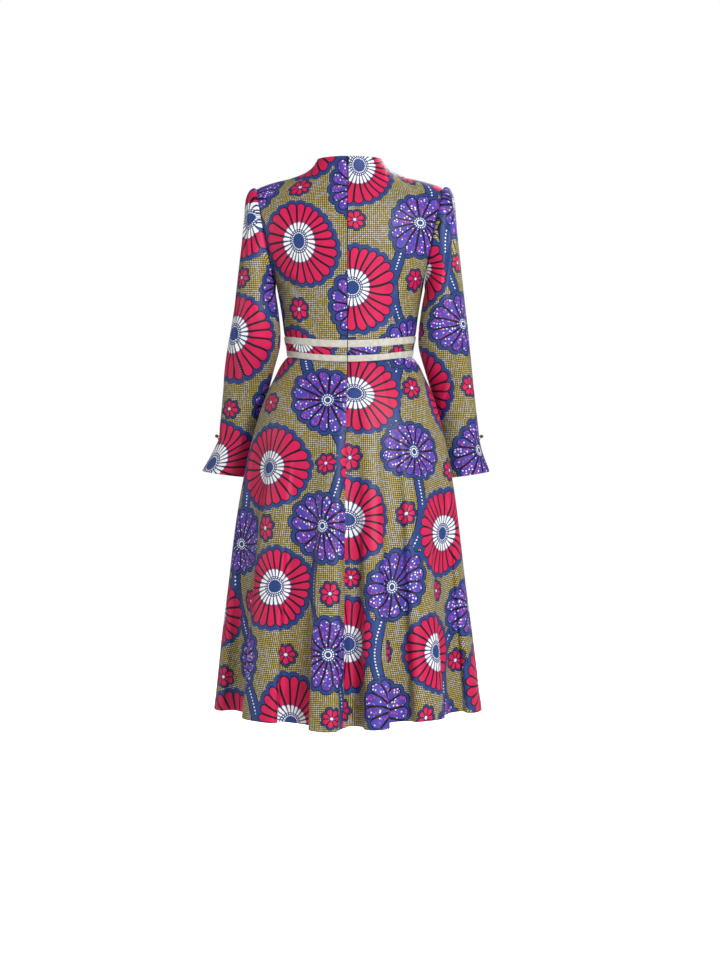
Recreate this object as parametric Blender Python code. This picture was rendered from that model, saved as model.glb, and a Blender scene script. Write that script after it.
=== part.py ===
# An A-line dress as it hangs when worn: a fitted bodice with a neck that grows up from the shoulders,
# long set-in sleeves with a buttoned vent and a flared end, a waistband between two ribbons, a long
# back zip and a fluted skirt to mid calf.
# Metres, +Z up. The front faces -Y and the wearer's left is +X. The origin lies midway between the
# shoulders, at the height where the shoulder seams rest on the wearer.
import math

import bpy
import numpy as np

# Driving sizes
WALL = 0.0015
RIBBON_WALL = 0.001
SEAM = 0.0003
ZIP_SLOT = 0.0018
ZIP_TAPE_WIDTH = 0.014
TAPE_GAP = 0.0005
TAPE_THICKNESS = 0.0008
COIL_TOP = -0.0004
SLOPE_MARGIN = 1.15
ZIP_TOP_HEIGHT = 0.049
ZIP_END_HEIGHT = -0.440
RIBBON_WIDTH = 0.0132
NECK_HALF_WIDTH = 0.069
NECK_BACK_DEPTH = 0.066
NECK_HEIGHT = 0.051
NECK_SIDE_HEIGHT = 0.0505
SHOULDER_TIP = (0.199, -0.0100)
UNDERARM = (0.158, -0.215)
ARMHOLE_BACK_DEPTH = 0.056
ARMHOLE_FRONT_DEPTH = 0.060
VENT_GAP = 0.012
BUTTON_RADIUS = 0.0038
BUTTON_GAP = 0.0007
FLUTE_START = -0.47
HEM_HEIGHT = -1.1245

# How finely each piece is cut into faces
PANEL_COLUMNS = 13
NECK_COLUMNS = 5
BACK_ROWS = (3, 3, 4, 3, 3, 3)
FRONT_ROWS = (3, 3, 2, 2, 3, 3, 2)
WAIST_COLUMNS = 11
SKIRT_STEP_DEGREES = 3.75

X_AXIS, Y_AXIS, Z_AXIS = np.eye(3)


def table(columns, *rows):
    """A short table as a dictionary of arrays, one for each named column."""
    return {name: np.array(values, float) for name, values in zip(columns.split(), zip(*rows))}


# Level rings of the torso from the waist seam up to the underarm. The waist dips at the centre back.
TORSO = table(
    "side_height back_height front_height half_width back_depth front_depth",
    (-0.3687, -0.3816, -0.3720, 0.1340, 0.098, 0.103),
    (-0.3257, -0.3356, -0.3290, 0.1405, 0.100, 0.108),
    (-0.2700, -0.2700, -0.2640, 0.1480, 0.106, 0.120),
    (-0.2150, -0.2050, -0.2050, 0.1580, 0.113, 0.136),
)
WAIST_LOW, WAIST_TOP, UNDER_BUST, CHEST = range(4)

# Back sections above the underarm, from the centre to the armhole. The angle is where the section
# meets the armhole ring, from its top, and the turn is how far the section bends on its way there.
BACK_SECTIONS = table(
    "height depth armhole_angle turn",
    (-0.120, 0.117, 108, 66),
    (-0.048, 0.102, 58, 56),
)

# The yoke section, under the neck rim and behind the shoulder seam, and where it meets the armhole.
YOKE = (0.080, 0.0745, 0.036, 0.045, 0.032)
YOKE_ARMHOLE_ANGLE = 26

# Front sections above the underarm, from the neckline to the armhole.
FRONT_SECTIONS = table(
    "height half_opening depth armhole_angle turn bust",
    (-0.165, 0.000, 0.131, 140, 78, 0.006),
    (-0.110, 0.024, 0.114, 104, 66, 0.003),
    (-0.050, 0.046, 0.084, 62, 54, 0.000),
    (0.008, 0.060, 0.046, 28, 40, 0.000),
)

# How far the front stands out beside the centre at the waist, under the bust and at the chest.
BUST = (0.0, 0.001, 0.008)

# The shoulder seam, from the neck side down to the shoulder tip.
SHOULDER_SEAM = table(
    "half_width height",
    (NECK_HALF_WIDTH, NECK_SIDE_HEIGHT),
    (0.0752, 0.0405),
    (0.0855, 0.0302),
    (0.1005, 0.0212),
    (0.1265, 0.0115),
    (0.1650, 0.0018),
    SHOULDER_TIP,
)

# Sleeve rings from the cap to the hem, each by its outermost and innermost point. The wearer's left
# arm stands a little further out.
SLEEVE = table(
    "outer_width outer_height inner_width inner_height half_depth centre_depth left_shift",
    (0.2070, -0.0095, 0.1588, -0.2170, 0.0585, 0.000, 0),
    (0.2165, -0.0165, 0.1592, -0.2190, 0.0600, 0.000, 0),
    (0.2235, -0.0345, 0.1595, -0.2215, 0.0610, 0.000, 0),
    (0.2265, -0.0700, 0.1597, -0.2250, 0.0620, 0.000, 0),
    (0.2305, -0.1150, 0.1597, -0.2300, 0.0625, 0.002, 0),
    (0.2360, -0.1650, 0.1585, -0.2380, 0.0620, 0.006, 0),
    (0.2420, -0.2200, 0.1552, -0.2560, 0.0605, 0.011, 0),
    (0.2475, -0.2700, 0.1510, -0.2840, 0.0580, 0.016, 0),
    (0.2530, -0.3150, 0.1470, -0.3190, 0.0550, 0.017, 0.002),
    (0.2565, -0.3500, 0.1475, -0.3520, 0.0520, 0.009, 0.006),
    (0.2615, -0.3950, 0.1600, -0.3980, 0.0490, -0.013, 0.010),
    (0.2665, -0.4400, 0.1730, -0.4440, 0.0465, -0.044, 0.012),
    (0.2720, -0.4850, 0.1820, -0.4900, 0.0445, -0.065, 0.013),
    (0.2765, -0.5200, 0.1880, -0.5260, 0.0430, -0.076, 0.0135),
    (0.2795, -0.5480, 0.1910, -0.5550, 0.0430, -0.083, 0.014),
    (0.2855, -0.5700, 0.1955, -0.5790, 0.0450, -0.089, 0.0155),
    (0.2930, -0.5950, 0.1990, -0.6060, 0.0475, -0.096, 0.017),
    (0.3005, -0.6200, 0.2010, -0.6340, 0.0500, -0.103, 0.019),
)
VENT_ROW = 14
CUFF_FLARE = {"left": 0.010, "right": -0.003}
BUTTON_ROW = VENT_ROW - 0.25

# The skirt from the waist seam to the hem, as the smooth form that the flutes stand on. The lean is
# how much further it reaches on the wearer's left than on the right.
SKIRT = table(
    "height half_width lean back_depth front_depth",
    (-0.3870, 0.1480, 0.0000, 0.106, 0.110),
    (-0.4110, 0.1600, 0.0005, 0.115, 0.118),
    (-0.4540, 0.1800, 0.0010, 0.131, 0.130),
    (-0.5030, 0.1950, 0.0020, 0.146, 0.143),
    (-0.5550, 0.2070, 0.0030, 0.160, 0.155),
    (-0.6040, 0.2160, 0.0040, 0.172, 0.166),
    (-0.6770, 0.2265, 0.0050, 0.187, 0.180),
    (-0.7550, 0.2350, 0.0060, 0.201, 0.193),
    (-0.8580, 0.2440, 0.0060, 0.216, 0.208),
    (-0.9610, 0.2545, 0.0055, 0.229, 0.222),
    (-1.0640, 0.2635, 0.0045, 0.241, 0.235),
    (HEM_HEIGHT, 0.2690, 0.0040, 0.248, 0.242),
)
DIP_FADE = 0.07

# The flutes of the skirt: where each ridge lies round the hem, from the centre back towards the
# wearer's left, how far it stands out, how far the hollow after it falls back and how much higher
# than the level the hem hangs there.
FLUTES = table(
    "angle ridge hollow rise",
    (-37.5, 0.019, 0.021, 0.008),
    (-13.5, 0.027, 0.026, -0.003),
    (6.5, 0.029, 0.017, -0.007),
    (39.5, 0.024, 0.018, 0.004),
    (85.0, 0.019, 0.018, 0.000),
    (120.0, 0.021, 0.022, 0.003),
    (151.0, 0.024, 0.022, 0.005),
    (181.0, 0.022, 0.023, 0.000),
    (212.0, 0.024, 0.020, 0.005),
    (243.0, 0.020, 0.018, 0.003),
    (276.0, 0.019, 0.018, 0.000),
)


def blend(values, at):
    """Values of a table column at fractional row numbers, on a smooth curve through the rows."""
    values = np.asarray(values, float)
    at = np.clip(np.asarray(at, float), 0, len(values) - 1)
    low = np.minimum(at.astype(int), len(values) - 2)
    t = at - low
    slopes = np.gradient(values, axis=0)
    if values.ndim > 1:
        t = t.reshape(t.shape + (1,) * (values.ndim - 1))
    a, b = values[low], values[low + 1]
    m, n = slopes[low], slopes[low + 1]
    return (
        a * (2 * t**3 - 3 * t**2 + 1)
        + m * (t**3 - 2 * t**2 + t)
        + b * (3 * t**2 - 2 * t**3)
        + n * (t**3 - t**2)
    )


def armhole(angles):
    """Points of the left armhole ring. 0 degrees is the shoulder tip, 90 the back and 270 the front."""
    tip = np.array([SHOULDER_TIP[0], 0, SHOULDER_TIP[1]])
    base = np.array([UNDERARM[0], 0, UNDERARM[1]])
    turn = np.radians(np.asarray(angles, float))[..., None]
    depth = np.where(np.sin(turn) > 0, ARMHOLE_BACK_DEPTH, ARMHOLE_FRONT_DEPTH)
    return (tip + base) / 2 + (tip - base) / 2 * np.cos(turn) + Y_AXIS * depth * np.sin(turn)


def armhole_outward():
    """The direction square to the armhole ring, from the bodice towards the arm."""
    up = np.array([SHOULDER_TIP[0] - UNDERARM[0], 0, SHOULDER_TIP[1] - UNDERARM[1]])
    outward = np.array([up[2], 0, -up[0]])
    return outward / np.linalg.norm(outward)


def torso_ring(row, angles):
    """A level ring of the torso at a fractional row. 0 degrees is the centre back, 90 the left side."""
    level = {name: blend(values, row) for name, values in TORSO.items()}
    turn = np.radians(angles)
    sine, cosine = np.sin(turn), np.cos(turn)
    back = cosine > 0
    depth = np.where(back, level["back_depth"], level["front_depth"])
    centre = np.where(back, level["back_height"], level["front_height"])
    height = level["side_height"] + (centre - level["side_height"]) * cosine**2
    return np.stack([level["half_width"] * sine, depth * cosine, height], axis=-1)


def section(centre, edge, turn, u):
    """An arc of an ellipse from a centre point to an edge point, which bends by turn degrees."""
    angle = np.radians(turn) * u
    across = (np.sin(angle) / math.sin(math.radians(turn)))[:, None]
    down = ((1 - np.cos(angle)) / (1 - math.cos(math.radians(turn))))[:, None]
    points = centre + (edge - centre) * down
    points[:, 0] = centre[0] + (edge[0] - centre[0]) * across[:, 0]
    return points


def shoulder_seam(t):
    """Points along the shoulder seam, from the neck side at 0 to the shoulder tip at 1."""
    rows = t * (len(SHOULDER_SEAM["height"]) - 1)
    width = blend(SHOULDER_SEAM["half_width"], rows)
    height = blend(SHOULDER_SEAM["height"], rows)
    return np.stack([width, np.zeros_like(width), height], axis=-1)


def loft(sections, rows_between):
    """A grid of points through the sections, rows_between rows for each gap between two of them."""
    steps = [
        index + step / count
        for index, count in enumerate(rows_between)
        for step in range(count)
    ]
    return blend(np.array(sections), np.array(steps + [len(sections) - 1]))


def back_armhole_angles():
    """Where the rows of the back meet the armhole ring, from the underarm up."""
    return loft([180, *BACK_SECTIONS["armhole_angle"], YOKE_ARMHOLE_ANGLE, 0], BACK_ROWS[2:])


def front_armhole_angles():
    """Where the rows of the front meet the armhole ring, from the underarm up."""
    return 360 - loft([180, *FRONT_SECTIONS["armhole_angle"], 0], FRONT_ROWS[2:])


def pin_to_armhole(rows, edge, u):
    """Moves the outer ends of the rows onto the armhole, and the rest of each row along with them."""
    rows += (edge - rows[:, -1])[:, None] * (u**2)[None, :, None]


def back_bodice():
    """The left back of the bodice, from the waist up, and from the centre back out to the armhole."""
    u = np.linspace(0, 1, PANEL_COLUMNS + 1)
    sections = [torso_ring(row, 90 * u) for row in (WAIST_TOP, UNDER_BUST, CHEST)]
    for height, depth, angle, turn in zip(*BACK_SECTIONS.values()):
        sections.append(section(np.array([0, depth, height]), armhole(angle), turn, u))
    turn = np.radians(np.linspace(0, 90, NECK_COLUMNS + 1))
    along = np.linspace(0, 1, PANEL_COLUMNS + 1 - NECK_COLUMNS)
    seam = shoulder_seam(along)
    sine, cosine = np.sin(turn), np.cos(turn)
    rise = NECK_HEIGHT - NECK_SIDE_HEIGHT
    rim_height = NECK_SIDE_HEIGHT + rise * cosine
    rim = np.stack([NECK_HALF_WIDTH * sine, NECK_BACK_DEPTH * cosine, rim_height], axis=-1)
    under = table("width back_depth side_depth back_drop side_drop", YOKE)
    under = {name: values[0] for name, values in under.items()}
    yoke_neck = np.stack(
        [
            under["width"] * sine,
            under["side_depth"] + (under["back_depth"] - under["side_depth"]) * cosine,
            NECK_HEIGHT - under["back_drop"] + (under["back_drop"] - under["side_drop"]) * (1 - cosine),
        ],
        axis=-1,
    )
    start, end = yoke_neck[-1] - seam[0], armhole(YOKE_ARMHOLE_ANGLE) - seam[-1]
    fade = np.stack([(1 - along) ** 2, 1 - along**2, (1 - along) ** 3], axis=-1)
    grow = np.stack([along**2, along**2, 1 - (1 - along) ** 3], axis=-1)
    sections.append(np.concatenate([yoke_neck[:-1], seam + start * fade + end * grow]))
    sections.append(np.concatenate([rim[:-1], seam]))
    low = sum(BACK_ROWS[:2])
    grid = loft(sections, BACK_ROWS)
    grid[:low] = band(WAIST_TOP, CHEST, 90 * u, low)[:-1]
    pin_to_armhole(grid[low:], armhole(back_armhole_angles()), u)
    grid[:, :, 0] = ZIP_SLOT / 2 + grid[:, :, 0] * (1 - ZIP_SLOT / 2 / grid[:, -1:, 0])
    grid[:, :, 1] += SEAM / 2
    grid[0, :, 2] += SEAM
    return grid


def front_bodice():
    """The left front of the bodice, from the waist up, and from the centre front or the neckline out."""
    u = np.linspace(0, 1, PANEL_COLUMNS + 1)
    fullness = np.sin(np.pi * u) ** 2
    sections = [torso_ring(row, 180 - 90 * u) for row in (WAIST_TOP, UNDER_BUST, CHEST)]
    for height, opening, depth, angle, turn in zip(*list(FRONT_SECTIONS.values())[:-1]):
        sections.append(section(np.array([opening, -depth, height]), armhole(360 - angle), turn, u))
    sections.append(shoulder_seam(u))
    low = sum(FRONT_ROWS[:2])
    grid = loft(sections, FRONT_ROWS)
    grid[:low] = band(WAIST_TOP, CHEST, 180 - 90 * u, low)[:-1]
    grid[: sum(FRONT_ROWS[:3]) + 1, 0, 0] = 0
    grid[:, :, 1] -= loft([*BUST, *FRONT_SECTIONS["bust"], 0], FRONT_ROWS)[:, None] * fullness
    pin_to_armhole(grid[low:], armhole(front_armhole_angles()), u)
    grid[:, :, 1] -= SEAM / 2
    grid[0, :, 2] += SEAM
    return grid


def band(from_row, to_row, angles, rows):
    """A grid on the torso between two fractional rows of its table."""
    return np.array([torso_ring(row, angles) for row in np.linspace(from_row, to_row, rows + 1)])


def flute_phase(angles):
    """Where each angle stands in the run of flutes: whole numbers are ridges, halves are hollows."""
    ridges = FLUTES["angle"]
    count = len(ridges)
    spread = np.concatenate([ridges[-2:] - 360, ridges, ridges[:2] + 360])
    return np.interp(angles, spread, np.arange(-2, count + 2)), count


def flute_rise(angles):
    """How much higher than the level the hem hangs at each angle."""
    phase, count = flute_phase(angles)
    rises = np.take(FLUTES["rise"], range(-2, count + 2), mode="wrap")
    return np.interp(phase, np.arange(-2, count + 2), rises)


def flute_height(angles):
    """How far the flutes stand out of the skirt's smooth form at the hem, with rounded ridges."""
    phase, count = flute_phase(angles)
    nearest = np.round(phase).astype(int) % count
    before = np.floor(phase).astype(int) % count
    wave = np.cos(2 * np.pi * phase)
    ridge, hollow = FLUTES["ridge"][nearest], FLUTES["hollow"][before]
    return np.where(wave > 0, ridge * wave, hollow * wave)


def skirt(angles):
    """The skirt from the hem up to the waist seam. Flutes grow from below the hip to the hem."""
    turn = np.radians(angles)
    sine, cosine = np.sin(turn), np.cos(turn)
    waist = torso_ring(WAIST_LOW, angles)
    dip = TORSO["side_height"][WAIST_LOW] - waist[:, 2]
    rows = [waist]
    for height, half_width, lean, back, front in zip(*SKIRT.values()):
        width = half_width + lean * sine
        depth = np.where(cosine > 0, back, front)
        fall = np.clip((FLUTE_START - height) / (FLUTE_START - HEM_HEIGHT), 0, 1)
        stand = flute_height(angles) * fall**1.15 * (1 + 0.1 * fall)
        normal = np.stack([sine / width, cosine / depth, 0 * sine], axis=-1)
        normal /= np.linalg.norm(normal, axis=-1, keepdims=True)
        fade = np.clip(1 - (waist[0, 2] + dip[0] - height) / DIP_FADE, 0, 1)
        level = height - dip * fade + flute_rise(angles) * fall**2
        points = np.stack([width * sine, depth * cosine, level], axis=-1)
        rows.append(points + normal * stand[:, None])
    return np.array(rows[::-1])


def sleeve(flare, shift):
    """The left sleeve from the armhole to the hem, as rings that start at the outermost point."""
    rings = len(SLEEVE["outer_width"])
    angles = np.concatenate([back_armhole_angles()[::-1], front_armhole_angles()[1:]])
    grid = [armhole(angles) + armhole_outward() * SEAM]
    for row in range(rings):
        below = max(0, row - VENT_ROW) / (rings - 1 - VENT_ROW)
        out = shift * SLEEVE["left_shift"][row]
        outer_width = SLEEVE["outer_width"][row] + out + flare * below
        outer = np.array([outer_width, 0, SLEEVE["outer_height"][row]])
        inner = np.array([SLEEVE["inner_width"][row] + out / 2, 0, SLEEVE["inner_height"][row]])
        depth = SLEEVE["half_depth"][row]
        open_angle = math.degrees(VENT_GAP / 2 * below / depth)
        turn = np.radians(open_angle + angles * (1 - open_angle / 180))[:, None]
        centre = (outer + inner) / 2 + Y_AXIS * SLEEVE["centre_depth"][row]
        grid.append(centre + (outer - inner) / 2 * np.cos(turn) + Y_AXIS * depth * np.sin(turn))
    return np.array(grid)


def mirrored(grid):
    """The same piece on the wearer's right, with its columns turned round so that it faces outwards."""
    return (grid * np.array([-1, 1, 1]))[:, ::-1]


def sheet_of(grids, weld=1e-6):
    """Joins grids into one sheet: its points, its faces and, for each grid, the index of every point."""
    flat = np.concatenate([grid.reshape(-1, 3) for grid in grids])
    _, first, index = np.unique(
        np.round(flat / weld).astype(np.int64), axis=0, return_index=True, return_inverse=True
    )
    index = index.reshape(-1)
    faces, places, start = [], [], 0
    for grid in grids:
        rows, columns = grid.shape[:2]
        place = index[start : start + rows * columns].reshape(rows, columns)
        start += rows * columns
        places.append(place)
        corners = np.stack([place[:-1, :-1], place[:-1, 1:], place[1:, 1:], place[1:, :-1]], axis=-1)
        for face in corners.reshape(-1, 4).tolist():
            ring = [p for n, p in enumerate(face) if p != face[n - 1]]
            if len(ring) > 2:
                faces.append(ring)
    return flat[first], faces, places


def point_normals(points, faces):
    """The outward direction at each point, from the faces round it."""
    normals = np.zeros_like(points)
    for face in faces:
        corners = points[face]
        across = corners[2] - corners[0]
        along = (corners[3] if len(face) == 4 else corners[0]) - corners[1]
        normals[face] += np.cross(across, along)
    return normals / np.linalg.norm(normals, axis=1, keepdims=True)


def wall_mesh(name, grids, holds, thickness, lift=0.0):
    """A closed wall under a sheet. holds names points whose edge has to stay square to an axis."""
    points, faces, places = sheet_of(grids)
    normals = point_normals(points, faces)
    for number, rows, columns, axis in holds:
        held = places[number][rows, columns].reshape(-1)
        normals[held] -= (normals[held] @ axis)[:, None] * axis
        normals[held] /= np.linalg.norm(normals[held], axis=1, keepdims=True)
    outer = points + normals * (lift + thickness if lift else 0.0)
    inner = points + normals * (lift if lift else -thickness)
    count = len(points)
    edges = {}
    for face in faces:
        for n, end in enumerate(face):
            edges[(face[n - 1], end)] = True
    rim = [
        [start, start + count, end + count, end]
        for start, end in edges
        if (end, start) not in edges
    ]
    under = [[p + count for p in reversed(face)] for face in faces]
    mesh = bpy.data.meshes.new(name)
    mesh.from_pydata(np.concatenate([outer, inner]).tolist(), [], faces + under + rim)
    mesh.update()
    return mesh


def material(name, colour, roughness, metallic=0.0):
    """A Principled material with one colour, as red, green and blue from 0 to 1."""
    made = bpy.data.materials.new(name)
    made.use_nodes = True
    shader = made.node_tree.nodes["Principled BSDF"]
    shader.inputs["Base Color"].default_value = (*colour, 1.0)
    shader.inputs["Roughness"].default_value = roughness
    shader.inputs["Metallic"].default_value = metallic
    return made


def add_piece(name, mesh, finish, location=(0, 0, 0), smooth=True):
    """Puts a mesh in the scene as one named piece of the dress."""
    piece = bpy.data.objects.new(name, mesh)
    piece.location = location
    bpy.context.scene.collection.objects.link(piece)
    mesh.materials.append(finish)
    if smooth:
        mesh.shade_smooth()
        mesh.set_sharp_from_angle(angle=math.radians(40))
    return piece


ALL = slice(None)
FIRST, LAST = slice(0, 1), slice(-1, None)


def make_bodice(cloth):
    """Two backs, parted by the zip, and one front."""
    turn_round = np.array([-1, 1, 1])
    low, high = slice(0, sum(BACK_ROWS[:2]) + 1), slice(sum(BACK_ROWS[:2]), None)
    left = back_bodice()[:, ::-1]
    seam = PANEL_COLUMNS + 1 - NECK_COLUMNS
    for side, grid, edge, centre, shoulder, outward in (
        ("left", left, FIRST, LAST, slice(0, seam), armhole_outward()),
        ("right", mirrored(left), LAST, FIRST, slice(-seam, None), armhole_outward() * turn_round),
    ):
        name = "bodice_back_" + side
        holds = [
            (0, high, edge, outward),
            (0, low, edge, Y_AXIS),
            (0, LAST, shoulder, Y_AXIS),
            (0, ALL, centre, X_AXIS),
            (0, FIRST, ALL, Z_AXIS),
        ]
        add_piece(name, wall_mesh(name, [grid], holds, WALL), cloth)
    front = front_bodice()
    low, high = slice(0, sum(FRONT_ROWS[:2]) + 1), slice(sum(FRONT_ROWS[:2]), None)
    holds = []
    for number, edge, outward in ((0, LAST, armhole_outward()), (1, FIRST, armhole_outward() * turn_round)):
        holds += [
            (number, high, edge, outward),
            (number, low, edge, Y_AXIS),
            (number, LAST, ALL, Y_AXIS),
            (number, FIRST, ALL, Z_AXIS),
        ]
    add_piece("bodice_front", wall_mesh("bodice_front", [front, mirrored(front)], holds, WALL), cloth)


def waist_angles(side, count):
    """Angles of a waist piece, from its zip edge or side seam to its other side seam."""
    slot = math.degrees(ZIP_SLOT / 2 / TORSO["half_width"][WAIST_TOP])
    seam = math.degrees(SEAM / 2 / TORSO["front_depth"][WAIST_TOP])
    ends = {
        "back_left": (90 - seam, slot),
        "back_right": (-slot, seam - 90),
        "front": (270 - seam, 90 + seam),
    }[side]
    return np.linspace(*ends, count + 1)


def waist_holds(side):
    """The edges of a waist piece that stay square to their seams."""
    start = X_AXIS if side == "back_right" else Y_AXIS
    end = X_AXIS if side == "back_left" else Y_AXIS
    return [(0, ALL, FIRST, start), (0, ALL, LAST, end), (0, FIRST, ALL, Z_AXIS), (0, LAST, ALL, Z_AXIS)]


def make_waist(cloth, ribbon):
    """The waistband in three pieces, each with a ribbon along its upper and its lower edge."""
    height = TORSO["side_height"][WAIST_TOP] - TORSO["side_height"][WAIST_LOW]
    share = RIBBON_WIDTH / height
    for side, width in (("back_left", 1), ("back_right", 1), ("front", 2)):
        angles = waist_angles(side, width * WAIST_COLUMNS)
        holds = waist_holds(side)
        panel = band(0, 1, angles, 3)
        add_piece("waistband_" + side, wall_mesh("waistband_" + side, [panel], holds, WALL), cloth)
        for name, low, high in (("lower", 0.008, share), ("upper", 1 - share, 0.992)):
            name = f"ribbon_{name}_{side}"
            strip = band(low, high, angles, 1)
            add_piece(name, wall_mesh(name, [strip], holds, RIBBON_WALL, lift=SEAM), ribbon)


def make_diagonal_ribbon(ribbon):
    """The ribbon that leaves the upper one at the left side seam and slants down across the front."""
    steps = 8
    angles = np.linspace(128, 91, steps + 1)
    middle = np.linspace(0.16, 0.80, steps + 1)
    half = 0.5 * RIBBON_WIDTH / (TORSO["side_height"][WAIST_TOP] - TORSO["side_height"][WAIST_LOW])
    low = np.array([torso_ring(row - half, np.array([a]))[0] for a, row in zip(angles, middle)])
    high = np.array([torso_ring(row + half, np.array([a]))[0] for a, row in zip(angles, middle)])
    strip = np.array([low, high])
    mesh = wall_mesh("ribbon_diagonal", [strip], [], RIBBON_WALL, lift=2 * SEAM + RIBBON_WALL)
    add_piece("ribbon_diagonal", mesh, ribbon)


def make_skirt(cloth):
    """Two backs that meet at the centre back seam and part for the zip above it, and one front."""
    step = SKIRT_STEP_DEGREES
    for side, low, high in (("back_left", 0, 90), ("back_right", -90, 0), ("front", 90, 270)):
        count = round((high - low) / step)
        grid = skirt(np.linspace(high, low, count + 1))
        if side == "front":
            grid[:, [0, -1], 1] = -SEAM / 2
        else:
            sign, centre, edge = (1, -1, 0) if side == "back_left" else (-1, 0, -1)
            part = np.clip((grid[:, centre, 2] - ZIP_END_HEIGHT) / 0.02, 0, 1)
            grid[:, centre, 0] = sign * (SEAM / 2 + (ZIP_SLOT - SEAM) / 2 * part)
            grid[:, edge, 1] = SEAM / 2
        grid[-1, :, 2] -= SEAM
        sides_and_waist = [hold for n, hold in enumerate(waist_holds(side)) if n != 2]
        add_piece("skirt_" + side, wall_mesh("skirt_" + side, [grid], sides_and_waist, WALL), cloth)


def make_sleeves(cloth):
    """Both sleeves, each one tube that opens in a vent from its button down."""
    for side in ("left", "right"):
        grid = sleeve(CUFF_FLARE[side], side == "left")[::-1]
        outward = armhole_outward()
        if side == "right":
            grid = mirrored(grid)
            outward = outward * np.array([-1, 1, 1])
        name = "sleeve_" + side
        add_piece(name, wall_mesh(name, [grid], [(0, LAST, ALL, outward)], WALL), cloth)


def turned_mesh(name, profile, sides):
    """A solid turned round its own X axis from a profile of distances and radii, with points at its ends."""
    angles = 2 * np.pi * np.arange(sides) / sides
    points = [(profile[0][0], 0, 0), (profile[-1][0], 0, 0)]
    for along, radius in profile[1:-1]:
        points += [(along, radius * math.cos(a), radius * math.sin(a)) for a in angles]
    rings = len(profile) - 2
    faces = []
    for n in range(sides):
        after = (n + 1) % sides
        faces.append([0, 2 + after, 2 + n])
        last = 2 + (rings - 1) * sides
        faces.append([1, last + n, last + after])
        for ring in range(rings - 1):
            low, high = 2 + ring * sides, 2 + (ring + 1) * sides
            faces.append([low + n, low + after, high + after, high + n])
    mesh = bpy.data.meshes.new(name)
    mesh.from_pydata(points, [], faces)
    mesh.update()
    return mesh


def make_buttons(finish):
    """A ball button on a short shank at the head of each vent."""
    foot = 0.0016
    ball = [
        (foot + BUTTON_RADIUS * (1 - math.cos(math.radians(a))), BUTTON_RADIUS * math.sin(math.radians(a)))
        for a in range(30, 166, 27)
    ]
    end = foot + 2 * BUTTON_RADIUS
    profile = [(0, 0), (0, 0.0013), (foot, 0.0013), *ball, (end, 0)]
    for side, sign in (("left", 1), ("right", -1)):
        name = "cuff_button_" + side
        button = add_piece(name, turned_mesh(name, profile, 12), finish)
        place = {name: float(blend(values, BUTTON_ROW)) for name, values in SLEEVE.items()}
        out = place["outer_width"] + BUTTON_GAP + (sign > 0) * place["left_shift"]
        button.location = (sign * out, place["centre_depth"], place["outer_height"])
        if sign < 0:
            button.rotation_euler = (0, 0, math.pi)


def zip_path():
    """Rows down the centre back: where the cloth lies, the way out of it and how it falls off sideways."""
    step = np.array([0.0, SKIRT_STEP_DEGREES])
    rows = [
        *back_bodice()[::-1, :2],
        *band(WAIST_TOP, WAIST_LOW, waist_angles("back_left", WAIST_COLUMNS)[:-3:-1], 3)[1:-1],
        *skirt(step)[::-1],
    ]
    share = (ZIP_TOP_HEIGHT - rows[1][0, 2]) / (rows[0][0, 2] - rows[1][0, 2])
    rows[0] = rows[1] + (rows[0] - rows[1]) * share
    rows = np.array([row for row in rows if row[0, 2] > ZIP_END_HEIGHT])
    slope = (rows[:, 0, 1] - rows[:, 1, 1]) / (rows[:, 1, 0] - rows[:, 0, 0])
    line = rows[:, 0] * np.array([0, 1, 1])
    along = np.gradient(line, axis=0)
    outward = np.stack([0 * along[:, 0], -along[:, 2], along[:, 1]], axis=-1)
    outward /= np.linalg.norm(outward, axis=1, keepdims=True)
    return line, outward, slope


def make_zip(finish):
    """The zip's tape behind the cloth, with its closed coil standing in the slot."""
    line, outward, slope = zip_path()
    coil, half = ZIP_SLOT / 2 - SEAM, ZIP_TAPE_WIDTH / 2
    tape_top = -WALL - TAPE_GAP
    tape_under = tape_top - TAPE_THICKNESS
    outline = [(half, tape_under), (half, tape_top), (coil, tape_top), (coil, COIL_TOP)]
    outline += [(-x, y) for x, y in outline[::-1]] + [(0, tape_under)]
    rings = np.array(
        [
            [place + X_AXIS * x + out * (y - (y <= tape_top) * fall * abs(x)) for x, y in outline]
            for place, out, fall in zip(line, outward, slope * SLOPE_MARGIN)
        ]
    )
    count, sides = rings.shape[:2]
    faces = [list(range(sides)), [(count - 1) * sides + n for n in reversed(range(sides))]]
    for ring in range(count - 1):
        for n in range(sides):
            a, b = ring * sides + n, ring * sides + (n + 1) % sides
            faces.append([a, a + sides, b + sides, b])
    mesh = bpy.data.meshes.new("zip")
    mesh.from_pydata(rings.reshape(-1, 3).tolist(), [], faces)
    mesh.update()
    add_piece("zip", mesh, finish, smooth=False)


# The zip's slider sits on the coil near the neck rim, and its pull tab hangs from a bar on it.
SLIDER_HEIGHT = 0.0455
SLIDER_SIZE = (0.0052, 0.0020, 0.0070)
BAR_RADIUS = 0.0004
BAR_REACH = 0.0032
LUG_INSIDE, LUG_OUTSIDE = 0.0012, 0.0021
EYE_INSIDE, EYE_OUTSIDE, EYE_HALF_WIDTH = 0.0008, 0.0016, 0.0008
TAB_LENGTH, TAB_HALF_WIDTH, TAB_HALF_THICKNESS = 0.0150, 0.0023, 0.0005


def slider_face():
    """The depth of the slider's inner face, clear of the cloth at its lowest edge."""
    line, _, _ = zip_path()
    lowest = SLIDER_HEIGHT - SLIDER_SIZE[2] / 2
    return np.interp(lowest, line[::-1, 2], line[::-1, 1]) + SEAM


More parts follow.
